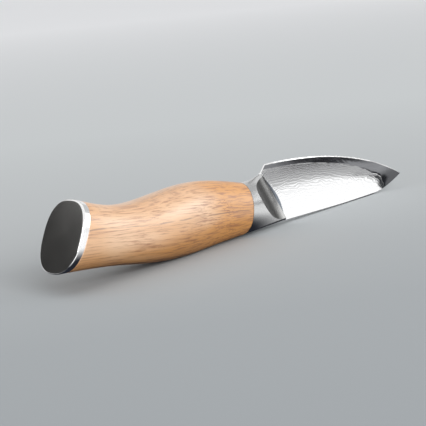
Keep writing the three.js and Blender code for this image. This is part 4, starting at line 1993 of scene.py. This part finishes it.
@dataclass
class Studio:
    """Pale floor, soft light and the camera, in metres.

    Attributes:
        place: the camera's place.
        aim: the point that it looks at.
        roll: its roll, in degrees.
        lens: its focal length, in millimetres.
        sensor: width of its sensor, in millimetres.
        sight: nearest and furthest distance that it sees.
        floor_size: length of the floor's sides.
        floor_drop: gap between the floor and the knife.
        brighter: the way in which the floor's painted light gradient grows brighter.
        backdrop: linear colour behind the floor.
    """

    place: Triple = (-0.41698, -0.34913, 0.10756)
    aim: Triple = (-0.00331, 0.01481, 0.00749)
    roll: float = 5.09
    lens: float = 126.76
    sensor: float = 36.0
    sight: tuple[float, float] = (0.01, 50.0)
    floor_size: float = 12.0
    floor_drop: float = 0.00005
    brighter: Triple = (0.556, 0.887, 0.0)
    backdrop: tuple[float, ...] = (0.56, 0.575, 0.58, 1.0)

    def build_camera(self) -> None:
        """Sets up the camera at the viewing angle of the picture."""
        camera = bpy.data.objects.new("camera", bpy.data.cameras.new("camera"))
        camera.data.lens = self.lens
        camera.data.sensor_width = self.sensor
        camera.data.clip_start, camera.data.clip_end = self.sight
        look = (Vector(self.aim) - Vector(self.place)).normalized()
        turn = look.to_track_quat("-Z", "Y").to_matrix() @ Matrix.Rotation(-math.radians(self.roll), 3, "Z")
        camera.matrix_world = Matrix.Translation(self.place) @ turn.to_4x4()
        bpy.context.scene.collection.objects.link(camera)
        bpy.context.scene.camera = camera

    def build_floor(self) -> None:
        """Lays the pale floor, which metal sees as a painted pool of light beside the knife, glowing for
        reflected rays.
        """
        half = self.floor_size / 2
        mesh = bpy.data.meshes.new("floor")
        corners = [(-half, -half, 0), (half, -half, 0), (half, half, 0), (-half, half, 0)]
        mesh.from_pydata(corners, [], [(0, 1, 2, 3)])
        floor = bpy.data.objects.new("floor", mesh)
        floor.location.z = -self.floor_drop
        bpy.context.scene.collection.objects.link(floor)
        material = bpy.data.materials.new("pale_floor")
        material.use_nodes = True
        steps = Steps(material.node_tree)
        steps.tree.nodes.clear()
        place = steps.place()
        # Painted light: the floor's colour grows brighter that way, in a ramp that runs over two metres, from
        # 0.3 m this side of the knife.
        away = steps.measure("DOT_PRODUCT", place, self.brighter)
        depth = steps.math("MULTIPLY_ADD", away, 0.5, 0.15)
        tone = steps.colours(depth, {
            0.0: (0.285, 0.305, 0.32),
            0.09: (0.35, 0.37, 0.385),
            0.175: (0.46, 0.48, 0.49),
            0.33: (0.605, 0.63, 0.64),
            1.0: (0.92, 0.93, 0.95),
        })
        matte = steps.add("ShaderNodeBsdfDiffuse", {"Color": tone})
        shown = self.pool(steps, place)
        glow = steps.add("ShaderNodeEmission", {"Color": shown, "Strength": 1.0})
        path = steps.add("ShaderNodeLightPath")
        mirrored = steps.math("MAXIMUM", path.outputs["Is Glossy Ray"], path.outputs["Is Transmission Ray"])
        both = steps.add("ShaderNodeMixShader", {0: mirrored, 1: matte.outputs[0], 2: glow.outputs[0]})
        steps.add("ShaderNodeOutputMaterial", {"Surface": both.outputs[0]})
        mesh.materials.append(material)

    def pool(self, steps: Steps, place: NodeSocket) -> NodeSocket:
        """Paints the light and shade that metal sees on the floor: a painted pool of white light beside the
        knife, dim further out and painted shadow below it.

        Args:
            steps: the floor material's steps.
            place: object coordinates on the floor.

        Returns:
            The colour.
        """
        x, y, _ = steps.split(place)
        left = steps.math("MULTIPLY", y, -1.0)
        # The bright floor reaches far beside the handle and less far along the blade.
        wide = steps.span(x, 0.01, 0.035, 0.16, 0.068)
        reach = steps.math("SUBTRACT", wide, steps.span(x, 0.1, 0.135, 0.0, 0.016))
        past = steps.span(steps.math("SUBTRACT", left, reach), -0.005, 0.006)
        tones = steps.mixed(past, self.beside(steps, x, left), self.further(steps, x, left))
        # Painted shadow: dark below the handle, and in a narrow line below the whole knife.
        behind = steps.span(x, 0.0, 0.03, 1.0, 0.0)
        below = steps.span(steps.math("ABSOLUTE", y), 0.013, 0.042, 1.0, 0.0)
        under = steps.span(steps.math("ABSOLUTE", y), 0.0017, 0.0027, 1.0, 0.0)
        shadow = steps.math("MAXIMUM", steps.math("MULTIPLY", behind, below), under)
        shaded = steps.mixed(shadow, tones, (0.02, 0.022, 0.03, 1.0))
        # Painted light: pale on the right side.
        return steps.mixed(steps.span(y, 0.02, 0.09), shaded, (0.8, 0.81, 0.815, 1.0))

    def beside(self, steps: Steps, x: NodeSocket, left: NodeSocket) -> NodeSocket:
        """Paints the light and shade that metal sees on the floor close to the knife's left side.

        Args:
            steps: the floor material's steps.
            x: distance along the knife.
            left: distance away from it.

        Returns:
            The colour.
        """
        # Along the knife, the floor is white at first, then dark in a narrow band, and then dim.
        white, dark = (1.12, 1.12, 1.12, 1.0), (0.028, 0.029, 0.032, 1.0)
        slanted = steps.math("ADD", left, steps.span(left, 0.008, 0.024, 0.087, 0.0912))
        end = steps.math("MINIMUM", slanted, 0.1245)
        grown = steps.math("ADD", left, steps.span(left, 0.003, 0.02, 0.091, 0.1013))
        near_lit = steps.span(left, 0.0295, 0.036, 0.0, 0.0075)
        far_lit = steps.span(left, 0.042, 0.052, 0.0, 0.022)
        lit = steps.math("ADD", near_lit, far_lit)
        dark_end = steps.math("SUBTRACT", grown, lit)
        dim = steps.colours(steps.math("MULTIPLY", left, 10.0), {
            0.12: (0.19, 0.19, 0.195),
            0.24: (0.21, 0.21, 0.215),
            0.36: (0.42, 0.42, 0.425),
            0.46: (0.48, 0.48, 0.485),
            0.6: (0.36, 0.36, 0.365),
        })
        near = steps.mixed(steps.span(steps.math("SUBTRACT", x, end), -0.0012, 0.0012), white, dark)
        return steps.mixed(steps.span(steps.math("SUBTRACT", x, dark_end), -0.001, 0.0015), near, dim)

    def further(self, steps: Steps, x: NodeSocket, left: NodeSocket) -> NodeSocket:
        """Paints the light and shade that metal sees on the floor further from the knife's left side.

        Args:
            steps: the floor material's steps.
            x: distance along the knife.
            left: distance away from it.

        Returns:
            The colour.
        """
        # Away from the knife, the floor is dim, then dark and at last white, and sooner so past the point.
        slow_turn = steps.span(x, 0.2, 0.32, 0.0, 0.09)
        fast_turn = steps.span(x, 0.203, 0.22, 0.0, 0.012)
        slanted = steps.math("ADD", left, steps.math("ADD", slow_turn, fast_turn))
        far = steps.colours(steps.math("MULTIPLY", slanted, 2.0), {
            0.13: (0.44, 0.44, 0.445),
            0.215: (0.34, 0.34, 0.345),
            0.265: (0.025, 0.025, 0.028),
            0.8: (0.025, 0.025, 0.028),
            0.92: (0.9, 0.9, 0.9),
        })
        # A lighter patch lies where the heel sees the floor, with white floor behind and dim floor far ahead.
        heel = steps.span(steps.math("SUBTRACT", x, left), 0.05, 0.068, 1.0, 0.0)
        glow = steps.math("MULTIPLY", heel, steps.span(left, 0.122, 0.136))
        far = steps.mixed(glow, far, (0.48, 0.48, 0.485, 1.0))
        aslant = steps.span(steps.math("MULTIPLY_ADD", left, -1.03, x), -0.004, 0.012)
        far = steps.mixed(aslant, (1.0, 1.0, 1.0, 1.0), far)
        ahead = steps.span(steps.math("MULTIPLY_ADD", left, -2.0, x), -0.02, 0.04)
        ahead = steps.math("MULTIPLY", ahead, steps.span(x, 0.2, 0.26))
        return steps.mixed(ahead, far, (0.45, 0.45, 0.455, 1.0))

    def window(self) -> NodeTree:
        """Builds the group that masks one window of the room, by its bearing and the sine of its height.

        Returns:
            The group.
        """
        inputs = dict.fromkeys(("Bearing from", "Bearing to", "Sine from", "Sine to"), "Float")
        steps, given, result = new_group("window", "ShaderNodeTree", inputs, ("Mask", "Float"))
        direction = steps.add("ShaderNodeTexCoord").outputs["Generated"]
        x, y, sine = steps.split(direction)
        bearing = steps.math("ARCTAN2", y, x)
        masks = []
        for value, name, soft in ((bearing, "Bearing", 0.08), (sine, "Sine", 0.025)):
            past = steps.math("SUBTRACT", value, given.outputs[f"{name} from"])
            left = steps.math("SUBTRACT", given.outputs[f"{name} to"], value)
            masks.append(steps.span(past, -soft, soft))
            masks.append(steps.span(left, -soft, soft))
        sides = steps.math("MULTIPLY", masks[0], masks[1])
        ends = steps.math("MULTIPLY", masks[2], masks[3])
        steps.feed(result.inputs[0], steps.math("MULTIPLY", sides, ends))
        return steps.tree

    def build_world(self) -> None:
        """Lights the knife from a bright soft ceiling over a dim room, in front of a pale background."""
        world = bpy.data.worlds.new("studio")
        bpy.context.scene.world = world
        world.use_nodes = True
        steps = Steps(world.node_tree)
        steps.tree.nodes.clear()
        direction = steps.add("ShaderNodeTexCoord").outputs["Generated"]
        room = steps.span(steps.split(direction)[2], 0.48, 0.66, 0.035, 1.0)
        window = self.window()
        # Bearings, sines of the height and brightness of each window.
        views = (
            ((-1.1, -0.35), (-0.06, 0.75), 0.95),
            ((-0.5, 0.4), (-0.06, 0.75), 0.64),
            ((0.3, 1.3), (-0.1, 0.45), 0.9),
        )
        for bearings, sines, level in views:
            mask = steps.group(window, dict(enumerate((*bearings, *sines))))
            room = steps.math("MAXIMUM", room, steps.math("MULTIPLY", mask, level))
        path = steps.add("ShaderNodeLightPath")
        seen = steps.mixed(path.outputs["Is Camera Ray"], room, self.backdrop)
        background = steps.add("ShaderNodeBackground", {"Color": seen, "Strength": 1.0})
        steps.add("ShaderNodeOutputWorld", {"Surface": background.outputs[0]})

    def build_softbox(self, name: str, towards: Triple, distance: float,
                      size: tuple[float, float], energy: float) -> None:
        """Hangs one softbox that points at the knife.

        Args:
            name: its name.
            towards: direction from the knife to it.
            distance: how far away it hangs, in metres.
            size: its width and height, in metres.
            energy: its power, in watts.
        """
        lamp = bpy.data.lights.new(name, "AREA")
        lamp.shape = "RECTANGLE"
        lamp.size, lamp.size_y = size
        lamp.energy = energy
        box = bpy.data.objects.new(name, lamp)
        out = Vector(towards).normalized()
        turn = out.to_track_quat("Z", "Y").to_matrix().to_4x4()
        box.matrix_world = Matrix.Translation(out * distance) @ turn
        box.visible_camera = False
        bpy.context.scene.collection.objects.link(box)

    def build(self) -> None:
        """Builds the whole studio."""
        bpy.context.scene.view_settings.view_transform = "Standard"
        self.build_camera()
        self.build_floor()
        self.build_world()
        self.build_softbox("fill", (-0.35, -0.85, 0.42), 1.2, (1.0, 0.6), 10.6)
        self.build_softbox("key", (0.68, -0.68, 0.24), 1.0, (0.6, 0.44), 1.75)


def main() -> None:
    """Builds the knife piece by piece, then the studio, and logs each piece."""
    logging.basicConfig(level=logging.INFO, format="%(name)s %(message)s")
    mount = frame["record"]["mounts"][0]
    handle_form = HandleForm()
    blade_form = BladeForm()
    bench = Bench.from_butt_face(mount, handle_form)
    opening = blade_form.front_angle - bench.pitch
    finishes = Finishes((math.cos(opening), 0.0, math.sin(opening)))
    blade = Blade(blade_form, handle_form)
    blade.build_core(finishes, bench)
    for side in Side:
        blade.build_cladding(side, finishes, bench)
    Bolster(blade_form, handle_form).build(finishes, bench)
    handle = Handle(handle_form)
    handle.build(finishes, bench)
    EndCap(handle, tuple(mount["axis"])).build(finishes, bench)
    fastening = TangFastening(blade, handle, frame["nodes"])
    fastening.build_rod(finishes, bench)
    fastening.dress(finishes)
    Studio().build()


if __name__ == "__main__":
    main()
